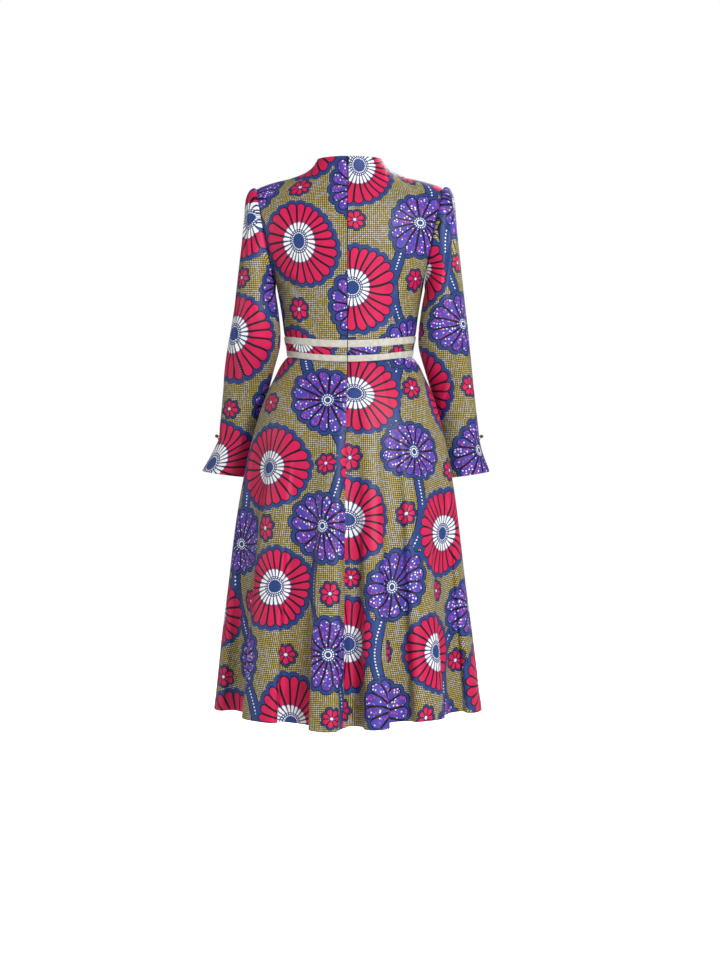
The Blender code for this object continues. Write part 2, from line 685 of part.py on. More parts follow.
def box_mesh(name, low, high):
    """A box between two corners."""
    (a, b, c), (d, e, f) = low, high
    points = [(a, b, c), (d, b, c), (d, e, c), (a, e, c), (a, b, f), (d, b, f), (d, e, f), (a, e, f)]
    faces = [(0, 3, 2, 1), (4, 5, 6, 7), (0, 1, 5, 4), (1, 2, 6, 5), (2, 3, 7, 6), (3, 0, 4, 7)]
    mesh = bpy.data.meshes.new(name)
    mesh.from_pydata(points, [], faces)
    mesh.update()
    return mesh


def rod_mesh(name, radius, half_length, sides=12):
    """A rod along X, centred on the origin, with flat ends."""
    angles = 2 * np.pi * np.arange(sides) / sides
    points = [
        (x, radius * math.cos(a), radius * math.sin(a))
        for x in (-half_length, half_length)
        for a in angles
    ]
    faces = [list(reversed(range(sides))), [sides + n for n in range(sides)]]
    for n in range(sides):
        after = (n + 1) % sides
        faces.append([n, after, sides + after, sides + n])
    mesh = bpy.data.meshes.new(name)
    mesh.from_pydata(points, [], faces)
    mesh.update()
    return mesh


def combine(target, tool, operation):
    """Joins a helper to a piece, or cuts it out, and leaves the helper out of the model."""
    tool.hide_render = True
    tool.display_type = "WIRE"
    step = target.modifiers.new(tool.name, "BOOLEAN")
    step.operation = operation
    step.solver = "EXACT"
    step.object = tool


def tab_mesh(name):
    """The pull tab as a flat drop that hangs along -Z from the origin."""
    steps = 14
    drop = np.linspace(0.0011, TAB_LENGTH, steps)
    share = drop / TAB_LENGTH
    swell = np.clip((share - 0.18) / 0.55, 0, 1)
    half = EYE_HALF_WIDTH + (TAB_HALF_WIDTH - EYE_HALF_WIDTH) * swell**2 * (3 - 2 * swell)
    half *= np.sqrt(np.clip(1 - np.clip((share - 0.80) / 0.215, 0, 1) ** 2, 0, 1))
    outline = [(x, -z) for x, z in zip(half, drop)] + [(-x, -z) for x, z in zip(half[::-1], drop[::-1])]
    count = len(outline)
    points = [(x, y, z) for y in (-TAB_HALF_THICKNESS, TAB_HALF_THICKNESS) for x, z in outline]
    faces = [list(range(count)), [count + n for n in reversed(range(count))]]
    for n in range(count):
        after = (n + 1) % count
        faces.append([after, n, count + n, count + after])
    mesh = bpy.data.meshes.new(name)
    mesh.from_pydata(points, [], [face[::-1] for face in faces])
    mesh.update()
    return mesh


def make_slider(finish):
    """The slider with two lugs and a bar between them, and the tab whose eye turns on the bar."""
    face = slider_face()
    width, depth, height = SLIDER_SIZE
    axis = (0, face + depth + BAR_REACH - 0.0012, SLIDER_HEIGHT + 0.001)
    low = (-width / 2, face, SLIDER_HEIGHT - height / 2)
    high = (width / 2, face + depth, SLIDER_HEIGHT + height / 2)
    slider = add_piece("zip_slider", box_mesh("zip_slider", low, high), finish, smooth=False)
    for sign in (-1, 1):
        ends = sorted((sign * LUG_INSIDE, sign * LUG_OUTSIDE))
        low = (ends[0], face + depth - 0.0005, axis[2] - 0.0013)
        high = (ends[1], axis[1] + 0.0008, axis[2] + 0.0013)
        lug = bpy.data.objects.new("lug", box_mesh("lug", low, high))
        bpy.context.scene.collection.objects.link(lug)
        combine(slider, lug, "UNION")
    bar = bpy.data.objects.new("bar", rod_mesh("bar", BAR_RADIUS, LUG_OUTSIDE - 0.0002))
    bpy.context.scene.collection.objects.link(bar)
    bar.location = axis
    combine(slider, bar, "UNION")
    hinge = bpy.data.objects.new("pull_tab_axis", None)
    bpy.context.scene.collection.objects.link(hinge)
    hinge.location = axis
    tab = add_piece("zip_pull_tab", tab_mesh("zip_pull_tab"), finish, smooth=False)
    tab.parent = hinge
    for name, radius, half_length, operation in (
        ("eye", EYE_OUTSIDE, EYE_HALF_WIDTH, "UNION"),
        ("eye_hole", EYE_INSIDE, 3 * EYE_HALF_WIDTH, "DIFFERENCE"),
    ):
        tool = bpy.data.objects.new(name, rod_mesh(name, radius, half_length, 16))
        bpy.context.scene.collection.objects.link(tool)
        tool.parent = hinge
        combine(tab, tool, operation)


def main():
    for old in list(bpy.data.objects):
        bpy.data.objects.remove(old)
    cloth = material("printed satin cotton", (0.16, 0.12, 0.24), 0.55)
    ribbon = material("grosgrain ribbon", (0.58, 0.56, 0.50), 0.5)
    dark = material("zip black", (0.02, 0.02, 0.025), 0.45)
    brass = material("button metal", (0.30, 0.24, 0.16), 0.35, 0.8)
    make_bodice(cloth)
    make_waist(cloth, ribbon)
    make_diagonal_ribbon(ribbon)
    make_skirt(cloth)
    make_sleeves(cloth)
    make_zip(dark)
    make_slider(dark)
    make_buttons(brass)


main()
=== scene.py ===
# A-line dress of printed satin cotton, hollow and hanging from its shoulders, seen from behind.
# Metres, +Z up. The front faces -Y, the zipped back faces +Y and the dress's left is +X.
import math
from functools import partial

import bpy
import numpy as np
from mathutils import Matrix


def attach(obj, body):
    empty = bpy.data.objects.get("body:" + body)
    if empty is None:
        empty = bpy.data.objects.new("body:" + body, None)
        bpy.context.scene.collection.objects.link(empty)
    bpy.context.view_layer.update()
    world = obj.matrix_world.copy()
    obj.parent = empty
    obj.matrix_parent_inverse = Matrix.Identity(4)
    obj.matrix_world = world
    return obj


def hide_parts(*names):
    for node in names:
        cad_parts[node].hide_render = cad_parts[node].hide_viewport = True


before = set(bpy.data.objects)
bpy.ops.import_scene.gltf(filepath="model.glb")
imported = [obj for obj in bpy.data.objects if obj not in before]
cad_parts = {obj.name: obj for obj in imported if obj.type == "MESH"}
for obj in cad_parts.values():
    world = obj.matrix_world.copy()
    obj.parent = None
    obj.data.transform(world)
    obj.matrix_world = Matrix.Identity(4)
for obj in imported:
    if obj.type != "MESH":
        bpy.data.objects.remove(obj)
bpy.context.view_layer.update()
print("frame loaded")


def table(columns, *rows):
    # A short table as arrays, one for each named column.
    return {name: np.array(values, float) for name, values in zip(columns.split(), zip(*rows))}


def smoothRows(values, at):
    # Values at fractional row numbers, on a cubic curve through the rows whose slope at each row is
    # half of the step between its two neighbours.
    values = np.asarray(values, float)
    at = np.clip(np.asarray(at, float), 0, len(values) - 1)
    low = np.minimum(at.astype(int), len(values) - 2)
    t = (at - low).reshape(at.shape + (1,) * (values.ndim - 1))
    slopes = np.gradient(values, axis=0)
    ends = values[low] * (2 * t**3 - 3 * t**2 + 1) + values[low + 1] * (3 * t**2 - 2 * t**3)
    return ends + slopes[low] * (t**3 - 2 * t**2 + t) + slopes[low + 1] * (t**3 - t**2)


def loft(sections, counts):
    # A grid through the section curves, with counts rows for each gap between two of them.
    ends = np.cumsum(np.concatenate([[0], counts]))
    return smoothRows(np.array(sections), np.interp(np.arange(ends[-1] + 1), ends, np.arange(len(ends))))


def arcLengths(grid, column, row):
    # Metres along each row from a column, and metres along each column from a row.
    across = np.cumsum(np.linalg.norm(np.diff(grid, axis=1, prepend=grid[:, :1]), axis=2), axis=1)
    upward = np.cumsum(np.linalg.norm(np.diff(grid, axis=0, prepend=grid[:1]), axis=2), axis=0)
    return across - across[:, [column]], upward - upward[[row]]


def hangingPlan(grid, headRows):
    # Each point's place in a flat cut that hangs straight: up is its height over the hem, and across
    # adds up the level parts of the steps along its row. Rows in the head take the row under them.
    level = np.diff(grid[:, :, :2], axis=1, prepend=grid[:, :1, :2])
    across = np.cumsum(np.linalg.norm(level, axis=2), axis=1)
    across[:headRows] = across[headRows]
    return across, grid[:, :, 2] - grid[-1, 0, 2]


def creases(around, along, rows, bow=0.06):
    # Soft ridges and troughs, in millimetres: from, to, width and height. Each falls off sideways as
    # exp(-(d/w)^2), swells from nothing at its ends as a sine, and bows by a share of its length.
    lift = np.zeros_like(around)
    for fromAround, fromAlong, toAround, toAlong, width, height in np.array(rows) / 1000:
        dx, dy = toAround - fromAround, toAlong - fromAlong
        length = math.hypot(dx, dy)
        t = ((around - fromAround) * dx + (along - fromAlong) * dy) / length**2
        aside = ((around - fromAround) * dy - (along - fromAlong) * dx) / length
        swell = np.sin(np.pi * np.clip(t, 0, 1))
        lift += height * np.exp(-(((aside + bow * length * swell) / width) ** 2)) * swell**1.2
    return lift


def groove(distance, depth, width):
    # A stitched line: a trough of the given depth that falls off as exp(-(d/w)^2).
    return -depth * np.exp(-((distance / width) ** 2))


def linear(hexColour):
    # An sRGB hex colour as linear red, green, blue and alpha.
    parts = np.array([int(hexColour[n:n + 2], 16) for n in (1, 3, 5)]) / 255
    return (*np.where(parts <= 0.04045, parts / 12.92, ((parts + 0.055) / 1.055) ** 2.4).tolist(), 1.0)


def finish(name, points, faces, material, slot, stands=(), loopUv=None, body="dress", smoothAngle=50):
    # Puts a mesh in the scene as one piece that rides on its body.
    mesh = bpy.data.meshes.new(name)
    mesh.from_pydata(points, [], faces)
    if loopUv is not None:
        mesh.uv_layers.new(name="UVMap").data.foreach_set("uv", loopUv.astype(np.float32).ravel())
    mesh.shade_smooth()
    mesh.set_sharp_from_angle(angle=math.radians(smoothAngle))
    mesh.materials.append(material)
    piece = bpy.data.objects.new(name, mesh)
    bpy.context.scene.collection.objects.link(piece)
    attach(piece, body)
    if stands:
        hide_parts(*stands)
    return piece


def clothPiece(name, patches, thickness, material, slot, node, raised=0.0):
    # A closed thin wall. Each patch is a grid of points, its flat places in metres and how far each
    # point is lifted along the surface's normal. Patches are joined where their points meet; the inner
    # face lies one thickness under the outer one, and a rim closes every free edge.
    points = np.concatenate([grid.reshape(-1, 3) for grid, _, _ in patches])
    flat = np.concatenate([plan.reshape(-1, 2) for _, plan, _ in patches])
    lift = np.concatenate([height.reshape(-1) for _, _, height in patches])
    keys = np.round(points / 2e-6).astype(np.int64)
    _, first, index = np.unique(keys, axis=0, return_index=True, return_inverse=True)
    index = index.reshape(-1)
    corners, start = [], 0
    for grid, _, _ in patches:
        place = start + np.arange(grid.shape[0] * grid.shape[1]).reshape(grid.shape[:2])
        start += place.size
        quads = np.stack([place[:-1, :-1], place[:-1, 1:], place[1:, 1:], place[1:, :-1]], axis=-1)
        corners.append(quads.reshape(-1, 4))
    corners = np.concatenate(corners)
    faces = index[corners]
    points, lift, count = points[first], lift[first], len(first)
    normals = np.zeros_like(points)
    turn = np.cross(points[faces[:, 2]] - points[faces[:, 0]], points[faces[:, 3]] - points[faces[:, 1]])
    np.add.at(normals, faces, turn[:, None, :])
    normals /= np.linalg.norm(normals, axis=1, keepdims=True)
    outer = points + normals * (lift + raised)[:, None]
    inner = outer - normals * thickness
    edges = np.concatenate([corners[:, [n, (n + 1) % 4]] for n in range(4)])
    ends = np.sort(index[edges], axis=1)
    _, back, times = np.unique(ends[:, 0] * count + ends[:, 1], return_inverse=True, return_counts=True)
    one, other = edges[times[back.reshape(-1)] == 1].T
    rim = np.stack([index[one], index[one] + count, index[other] + count, index[other]], axis=1)
    allFaces = np.concatenate([faces, faces[:, ::-1] + count, rim])
    flatCorners = np.concatenate([corners, corners[:, ::-1], np.stack([one, one, other, other], axis=1)])
    piece = finish(name, np.concatenate([outer, inner]), allFaces, material, slot, [node],
                   flat[flatCorners].reshape(-1, 2))
    wrongSide = np.repeat([0, 1, 0], [len(faces), len(faces), len(rim)]).astype(np.float32)
    piece.data.attributes.new("wrongSide", "FLOAT", "FACE").data.foreach_set("value", wrongSide)
    return piece


def tubeFaces(rings, sides, closedRings=False):
    # Quads of a tube whose points are numbered ring by ring, with a cap at each end or no end at all.
    place = np.arange(rings * sides).reshape(rings, sides)
    if closedRings:
        place = np.concatenate([place, place[:1]])
    after = np.roll(place, -1, axis=1)
    quads = np.stack([place[:-1], after[:-1], after[1:], place[1:]], axis=-1).reshape(-1, 4).tolist()
    return quads if closedRings else quads + [place[0, ::-1].tolist(), place[-1].tolist()]


def tubeAlong(path, radius, sides, closed=False):
    # A round tube along a path: rings square to the path, turned so that none twists.
    along = np.roll(path, -1, axis=0) - np.roll(path, 1, axis=0) if closed else np.gradient(path, axis=0)
    along /= np.linalg.norm(along, axis=1, keepdims=True)
    slanting = np.array([0.137, 0.291, 0.947])
    away = np.cross(along, slanting)
    away /= np.linalg.norm(away, axis=1, keepdims=True)
    turn = 2 * np.pi * np.arange(sides)[None, :, None] / sides
    ring = away[:, None] * np.cos(turn) + np.cross(along, away)[:, None] * np.sin(turn)
    return (path[:, None] + ring * radius).reshape(-1, 3)


def addNode(tree, kind, *inputs, out=0, stops=(), **settings):
    # Adds one shader node, by its kind and operation. Plain inputs fill its sockets in order, and a
    # dictionary those it names; a socket is linked. Stops are a ramp's flat steps: where each starts,
    # its hex and its alpha. Gives one output back.
    kind, _, operation = kind.partition(" ")
    node = tree.nodes.new("ShaderNode" + kind)
    for key, value in (settings | ({"operation": operation} if operation else {})).items():
        setattr(node, key, value)
    for number, given in enumerate(inputs):
        for socket, value in given.items() if isinstance(given, dict) else [(number, given)]:
            if isinstance(value, bpy.types.NodeSocket):
                tree.links.new(value, node.inputs[socket])
            else:
                node.inputs[socket].default_value = value
    if stops:
        node.color_ramp.interpolation = "CONSTANT"
        for _ in stops[2:]:
            node.color_ramp.elements.new(0.5)
        for element, (place, colour, alpha) in zip(node.color_ramp.elements, stops):
            element.position = place
            element.color = (*linear(colour)[:3], alpha)
    return node.outputs[out]


def startMaterial(name, **sockets):
    # A Principled material with plain values on its sockets.
    material = bpy.data.materials.new(name)
    material.use_nodes = True
    shader = material.node_tree.nodes["Principled BSDF"]
    for key, value in sockets.items():
        shader.inputs[key.replace("_", " ")].default_value = value
    return material, material.node_tree, shader


# Printed satin-faced cotton, as made by wax-style printing: flat clear colours with dark outlines on a
# smooth face that shines softly. The design is a plain one of round rosettes, small flowers and a
# winding dotted stem on a fine check. All its sizes are metres on the cloth.
printLook = dict(
    navy="#26407f", ink="#150e1a", magenta="#de1c5c", magentaDeep="#c3164c", white="#f2f2ee",
    violet="#43359f", violetLight="#594cb3", pink="#d24a96",
    olive="#bfab50", check="#231f1e", cream="#c2c0ba",
    repeat=0.266, wander=0.013, jitter=0.011, ownSize=0.07, ownTurn=6.283, outline=0.0018, petalEdge=0.0004,
    dotPitch=0.0043, dot=0.00135, wrongSideFade=0.32,
    # petals round, reach of their round tips, how oval, half the gap between two, heart and dark halo,
    # the grid on which they stand, and where the rings of dots start and end
    rosette=dict(petals=24, reach=0.0770, swell=0.006, gap=0.0018, heart=0.0390, halo=0.0125,
                 turn=0, pitch=0.266, shift=0.0, dots=(0.0129, 0.0215),
                 shortPetals=dict(start=0.0222, tip=0.0355, width=0.66)),
    flower=dict(petals=15, reach=0.0570, swell=0.007, gap=0.0018, heart=0.0150, halo=0.0085,
                turn=0, pitch=0.266, shift=0.5, dots=(0.0043, 0.0129)),
    bud=dict(petals=7, reach=0.0150, swell=0.001, gap=0.0008, heart=0.0056, halo=0.0045,
             turn=45, pitch=0.1881, shift=0.0, dots=(0.0, 0.0043)),
    stem=dict(half=0.01275, outlined=0.0150, sway=0.045, beadPitch=0.007, bead=0.0018),
    # flecks about 5 mm across: cells to the metre, size, and the chances under which a cell has none
    # or a pink one
    fleck=dict(scale=170.0, size=0.27, none=0.36, pink=0.72),
    # the real check is about 3.4 mm a square; it is drawn at 4.1 mm so that it shows at two pixels
    checkSize=0.0041, thread=0.31, pale=0.300,
    # the real threads are about 0.25 mm apart; the weave is drawn at 1.4 mm so that it can show
    threadPitch=0.0014,
)


def printedCotton():
    # Distances on the cloth pick the colours: from a motif's centre, from its petals' edges and from
    # the stem's middle. Each layer lies over those before it.
    look = printLook
    material, tree, shader = startMaterial(
        "printed satin cotton", Roughness=0.48, IOR=1.46, Specular_IOR_Level=0.32, Sheen_Weight=0.05,
        Sheen_Roughness=0.4,
    )
    add, mixed, flat = partial(addNode, tree), dict(out=2, data_type="RGBA"), dict(noise_dimensions="2D")
    colours = {name: linear(value) for name, value in look.items() if isinstance(value, str)}
    uv = add("UVMap", uv_map="UVMap")
    noise = add("TexNoise", {"Vector": uv, "Scale": 7.0, "Detail": 1.0}, out="Color", **flat)
    centred = add("VectorMath SUBTRACT", noise, (0.5,) * 3)
    place = add("VectorMath MULTIPLY_ADD", centred, (look["wander"] * 2,) * 3, uv)

    layers = []
    for name in ("rosette", "flower", "bud"):
        sizes = look[name]
        petals, pitch, jitter = sizes["petals"], sizes["pitch"], look["jitter"]
        cells = add("Mapping", {"Vector": place, "Location": (sizes["shift"], sizes["shift"], 0),
                                "Rotation": (0, 0, math.radians(sizes["turn"])), "Scale": (1 / pitch,) * 3})
        chance = add("TexWhiteNoise", {"Vector": add("VectorMath FLOOR", cells)}, out="Color", **flat)
        inCell = add("VectorMath FRACTION", cells)
        inCell = add("VectorMath MULTIPLY_ADD", inCell, (pitch,) * 3, (-pitch / 2,) * 3)
        moved = add("VectorMath MULTIPLY_ADD", chance, (2 * jitter, 2 * jitter, 0), (-jitter, -jitter, 0))
        spot = add("VectorMath MULTIPLY", add("VectorMath ADD", inCell, moved), (1, 1, 0))
        radius = add("VectorMath LENGTH", spot, out="Value")
        x, y, _ = add("SeparateXYZ", spot).node.outputs
        angle = add("Math ARCTAN2", y, x)
        # whole turns are added so that a share of a petal is never negative
        turns = add("Math MULTIPLY_ADD", angle, petals / (2 * math.pi), 40.5)
        share = add("Math ABSOLUTE", add("Math SUBTRACT", add("Math FRACT", turns), 0.5))
        aside = add("Math MULTIPLY", add("Math MULTIPLY", share, radius), 2 * math.pi / petals)
        # the whole motif is a little oval, each one its own way and size, and each petal ends round
        _, own, phase = add("SeparateXYZ", chance).node.outputs
        twice = add("Math MULTIPLY_ADD", angle, 2.0, add("Math MULTIPLY", phase, look["ownTurn"]))
        ends = [(1 + sign * look["ownSize"]) * sizes["reach"] for sign in (-1, 1)]
        reach = add("MapRange", own, 0.0, 1.0, *ends)
        reach = add("Math MULTIPLY_ADD", add("Math COSINE", twice), sizes["swell"], reach)
        inner = add("Math MINIMUM", radius, reach)
        half = add("Math MULTIPLY_ADD", inner, math.pi / petals, -sizes["gap"])
        span = add("CombineXYZ", aside, add("Math SUBTRACT", radius, inner))
        depth = add("Math SUBTRACT", half, add("VectorMath LENGTH", span, out="Value"))
        layers.append((sizes, radius, depth, turns, aside))

    # the fine check: olive squares parted by dark threads, some squares cream in drifting patches
    checks = add("VectorMath MULTIPLY", uv, (1 / look["checkSize"],) * 3)
    x, y, _ = add("SeparateXYZ", add("VectorMath FRACTION", checks)).node.outputs
    isThread = add("Math LESS_THAN", add("Math MINIMUM", x, y), look["thread"])
    squareChance = add("TexWhiteNoise", {"Vector": add("VectorMath FLOOR", checks)}, out="Value", **flat)
    drift = add("TexNoise", {"Vector": uv, "Scale": 45.0, "Detail": 2.0}, **flat)
    isPale = add("Math GREATER_THAN", add("Math MULTIPLY", drift, squareChance), look["pale"])
    colour = add("Mix", {0: isPale, 6: colours["olive"], 7: colours["cream"]}, **mixed)
    colour = add("Mix", {0: isThread, 6: colour, 7: colours["check"]}, **mixed)

    # a winding navy stem under the motifs, with white beads along its middle; its ramp spans 50 mm
    stem, repeat, perRamp = look["stem"], look["repeat"], 20.0
    x, y, _ = add("SeparateXYZ", place).node.outputs
    sway = add("Math MULTIPLY", add("Math SINE", add("Math MULTIPLY", y, math.pi / repeat)), stem["sway"])
    aside = add("Math WRAP", add("Math ADD", x, sway), repeat / 2, -repeat / 2)
    band = add("ValToRGB", add("Math MULTIPLY", add("Math ABSOLUTE", aside), perRamp), stops=[
        (0.0, look["navy"], 1), (perRamp * stem["half"], look["ink"], 1),
        (perRamp * stem["outlined"], look["ink"], 0),
    ])
    colour = add("Mix", {0: band.node.outputs["Alpha"], 6: colour, 7: band}, **mixed)
    bead = add("CombineXYZ", aside, add("Math WRAP", y, stem["beadPitch"] / 2, -stem["beadPitch"] / 2))
    isBead = add("Math LESS_THAN", add("VectorMath LENGTH", bead, out="Value"), stem["bead"])
    colour = add("Mix", {0: isBead, 6: colour, 7: colours["white"]}, **mixed)

    # flat colours of the petals, a little uneven, and flecks on the violet ones
    fleck = look["fleck"]
    cells = add("TexVoronoi", {"Vector": place, "Scale": fleck["scale"]}, voronoi_dimensions="2D")
    cells = cells.node.outputs
    fleckColour = add("ValToRGB", add("SeparateXYZ", cells["Color"]), stops=[
        (0.0, look["pink"], 0), (fleck["none"], look["pink"], 1), (fleck["pink"], look["white"], 1),
    ])
    isFleck = add("Math LESS_THAN", cells["Distance"], fleck["size"])
    isFleck = add("Math MULTIPLY", isFleck, fleckColour.node.outputs["Alpha"])
    shade = add("TexNoise", {"Vector": uv, "Scale": 26.0, "Detail": 1.0}, **flat)
    violet = add("Mix", {0: shade, 6: colours["violet"], 7: colours["violetLight"]}, **mixed)
    violet = add("Mix", {0: isFleck, 6: violet, 7: fleckColour}, **mixed)
    magenta = add("Mix", {0: shade, 6: colours["magenta"], 7: colours["magentaDeep"]}, **mixed)

    perRamp = 50.0
    for (sizes, radius, depth, turns, aside), petal in zip(layers[::-1], (magenta, violet, magenta)):
        # the depth inside a petal picks ground, outline, halo, outline or petal; its ramp spans 20 mm
        scaled = add("Math MULTIPLY_ADD", depth, perRamp, 0.5)
        halo, line = 0.5 - perRamp * sizes["halo"], perRamp * look["outline"]
        edge = 0.5 + perRamp * look["petalEdge"]
        band = add("ValToRGB", scaled, stops=[
            (0.0, look["ink"], 0), (halo - line, look["ink"], 1), (halo, look["navy"], 1),
            (0.5 - line, look["ink"], 1), (edge, look["white"], 1),
        ])
        motif = add("Mix", {0: add("Math GREATER_THAN", scaled, edge), 6: band, 7: petal}, **mixed)
        # the heart: navy, two rings of white dots and, in the rosettes, a ring of short white petals
        rings = add("Math MULTIPLY", radius, 1 / look["dotPitch"])
        dotTurn = add("Math MULTIPLY_ADD", add("Math FLOOR", rings), 0.5, turns)
        dotShare = add("Math SUBTRACT", add("Math FRACT", dotTurn), 0.5)
        dotSide = add("Math MULTIPLY", dotShare, radius)
        dotSide = add("Math MULTIPLY", dotSide, 2 * math.pi / sizes["petals"])
        dotIn = add("Math MULTIPLY_ADD", add("Math FRACT", rings), look["dotPitch"], -look["dotPitch"] / 2)
        fromDot = add("VectorMath LENGTH", add("CombineXYZ", dotSide, dotIn), out="Value")
        isWhite = add("Math LESS_THAN", fromDot, look["dot"])
        start, end = sizes["dots"]
        inRings = add("Math GREATER_THAN", radius, start)
        inRings = add("Math MULTIPLY", inRings, add("Math LESS_THAN", radius, end))
        isWhite = add("Math MULTIPLY", isWhite, inRings)
        if "shortPetals" in sizes:
            short = sizes["shortPetals"]
            tip = add("Math MINIMUM", radius, short["tip"])
            narrow = add("Math MULTIPLY", tip, short["width"] * math.pi / sizes["petals"])
            span = add("CombineXYZ", aside, add("Math SUBTRACT", radius, tip))
            isShort = add("Math GREATER_THAN", narrow, add("VectorMath LENGTH", span, out="Value"))
            isShort = add("Math MULTIPLY", isShort, add("Math GREATER_THAN", radius, short["start"]))
            isWhite = add("Math MAXIMUM", isWhite, isShort)
        heart = add("Mix", {0: isWhite, 6: colours["navy"], 7: colours["white"]}, **mixed)
        motif = add("Mix", {0: add("Math LESS_THAN", radius, sizes["heart"]), 6: motif, 7: heart}, **mixed)
        colour = add("Mix", {0: band.node.outputs["Alpha"], 6: colour, 7: motif}, **mixed)

    # the print is weaker on the cloth's wrong side
    wrongSide = add("Attribute", out="Fac", attribute_name="wrongSide")
    fade = add("Math MULTIPLY", wrongSide, look["wrongSideFade"])
    colour = add("Mix", {0: fade, 6: colour, 7: colours["cream"]}, **mixed)
    tree.links.new(colour, shader.inputs["Base Color"])

    # the weave, and slight unevenness as soft cloth has
    threads = add("VectorMath MULTIPLY", uv, (2 * math.pi / look["threadPitch"],) * 3)
    x, y, _ = add("SeparateXYZ", add("VectorMath SINE", threads)).node.outputs
    slack = add("TexNoise", {"Vector": uv, "Scale": 55.0, "Detail": 2.0}, **flat)
    relief = add("Math MULTIPLY_ADD", slack, 7.0, add("Math MULTIPLY", x, y))
    bump = add("Bump", {"Height": relief, "Strength": 0.35, "Distance": 0.00009})
    tree.links.new(bump, shader.inputs["Normal"])
    return material


def grosgrain(ribPitch=0.0015):
    # Grosgrain ribbon, woven with thick weft cords that stand as ribs across its width: dry, pale and softly
    # shining on each rib, with painted light on each rib's crest and painted shade between the ribs. Real
    # ribs are about 0.7 mm apart, drawn at 1.5 mm so that they show.
    material, tree, shader = startMaterial(
        "woven grosgrain ribbon", Roughness=0.55, IOR=1.48, Sheen_Weight=0.25, Sheen_Roughness=0.5,
    )
    add = partial(addNode, tree)
    uv = add("UVMap", uv_map="UVMap")
    rib = add("Math SINE", add("Math MULTIPLY", add("SeparateXYZ", uv), 2 * math.pi / ribPitch))
    slub = add("TexNoise", {"Vector": uv, "Scale": 90.0, "Detail": 2.0}, noise_dimensions="2D")
    # the colour is painted light and shade of the ribs, lighter on each crest and darker between them, with
    # the slub's random tone on top
    ribShadeAndSlub = add("Math MULTIPLY_ADD", rib, 0.22, slub)
    shades = {0: ribShadeAndSlub, 6: linear("#b5b1a3"), 7: linear("#dedbcf")}
    tree.links.new(add("Mix", shades, out=2, data_type="RGBA"), shader.inputs["Base Color"])
    bump = add("Bump", {"Height": rib, "Strength": 0.6, "Distance": 0.00012})
    tree.links.new(bump, shader.inputs["Normal"])
    return material


def plainMaterial(name, low, high, roughness, metallic=0.0, grain=900.0, relief=0.00002):
    # A finish whose colour drifts between two near shades, with a fine grain of its own.
    material, tree, shader = startMaterial(name, Metallic=metallic, IOR=1.5)
    add = partial(addNode, tree)
    place = add("TexCoord", out="Object")
    drift = add("TexNoise", {"Vector": place, "Scale": grain, "Detail": 3.0})
    shades = {0: drift, 6: linear(low), 7: linear(high)}
    tree.links.new(add("Mix", shades, out=2, data_type="RGBA"), shader.inputs["Base Color"])
    rough = add("MapRange", drift, 0.0, 1.0, roughness - 0.08, roughness + 0.10)
    tree.links.new(rough, shader.inputs["Roughness"])
    bump = add("Bump", {"Height": drift, "Strength": 0.5, "Distance": relief})
    tree.links.new(bump, shader.inputs["Normal"])
    return material


cotton = printedCotton()
ribbonCloth = grosgrain()
# zip tape, woven polyester dyed black: matt, with a fine even grain
tapeCloth = plainMaterial("woven polyester zip tape", "#0c0c11", "#1b1b22", 0.72, grain=2500.0)
# zip coil, drawn nylon: smooth and slightly glossy
coilNylon = plainMaterial("drawn nylon coil", "#0d0d12", "#17171d", 0.35)
# slider and pull, die-cast zinc with black enamel: hard, with a soft gloss
enamel = plainMaterial("black enamelled zinc", "#08080b", "#15151b", 0.28, grain=600.0)
# button, brass that is darkened in its hollows; here its colour only drifts at random between dark and light
oldBrass = plainMaterial("darkened brass", "#2c2118", "#8a6c3e", 0.34, metallic=1.0, grain=420.0,
                         relief=0.00006)
# loop, twisted cotton thread
loopThread = plainMaterial("twisted cotton thread", "#8d7440", "#c9ad6c", 0.7, grain=1500.0, relief=0.00005)
print("materials made")


torso = table(
    "sideHeight backHeight frontHeight halfWidth backDepth frontDepth",
    (-0.3687, -0.3816, -0.3720, 0.1340, 0.098, 0.103),
    (-0.3257, -0.3356, -0.3290, 0.1405, 0.100, 0.108),
    (-0.2700, -0.2700, -0.2640, 0.1480, 0.106, 0.120),
    (-0.2150, -0.2050, -0.2050, 0.1580, 0.113, 0.136),
)
waistLow, waistTop, underBust, chest = range(4)
cloth = dict(thickness=0.0009, seam=0.00002, zipSlot=0.0018, seamDepth=0.0013, seamWidth=0.0024)
shoulderTip = np.array([0.199, 0.0, -0.0100])
underarm = np.array([0.158, 0.0, -0.215])
armholeDepth = dict(back=0.056, front=0.060)
backwards = np.array([0.0, 1.0, 0.0])
shoulderLine = np.array([
    (0.069, 0, 0.0505), (0.0752, 0, 0.0405), (0.0855, 0, 0.0302), (0.1005, 0, 0.0212),
    (0.1265, 0, 0.0115), (0.1650, 0, 0.0018), (0.199, 0, -0.0100),
])


def cottonPiece(name, patches, node):
    return clothPiece(name, patches, cloth["thickness"], cotton, "printed_cloth", node)


def torsoRing(row, angles):
    # A level ring: x = width sin a, y = depth cos a, and the height moves from the side's to the
    # centre's with cos a squared. 0 degrees is the centre back and 90 the left side.
    level = {name: smoothRows(values, row) for name, values in torso.items()}
    sine, cosine = np.sin(np.radians(angles)), np.cos(np.radians(angles))
    depth = np.where(cosine > 0, level["backDepth"], level["frontDepth"])
    rise = np.where(cosine > 0, level["backHeight"], level["frontHeight"]) - level["sideHeight"]
    height = level["sideHeight"] + rise * cosine**2
    return np.stack([level["halfWidth"] * sine, depth * cosine, height], axis=-1)


def torsoBand(fromRow, toRow, angles, count):
    # Rings at even steps from one row of the table to another.
    return np.array([torsoRing(row, angles) for row in np.linspace(fromRow, toRow, count + 1)])


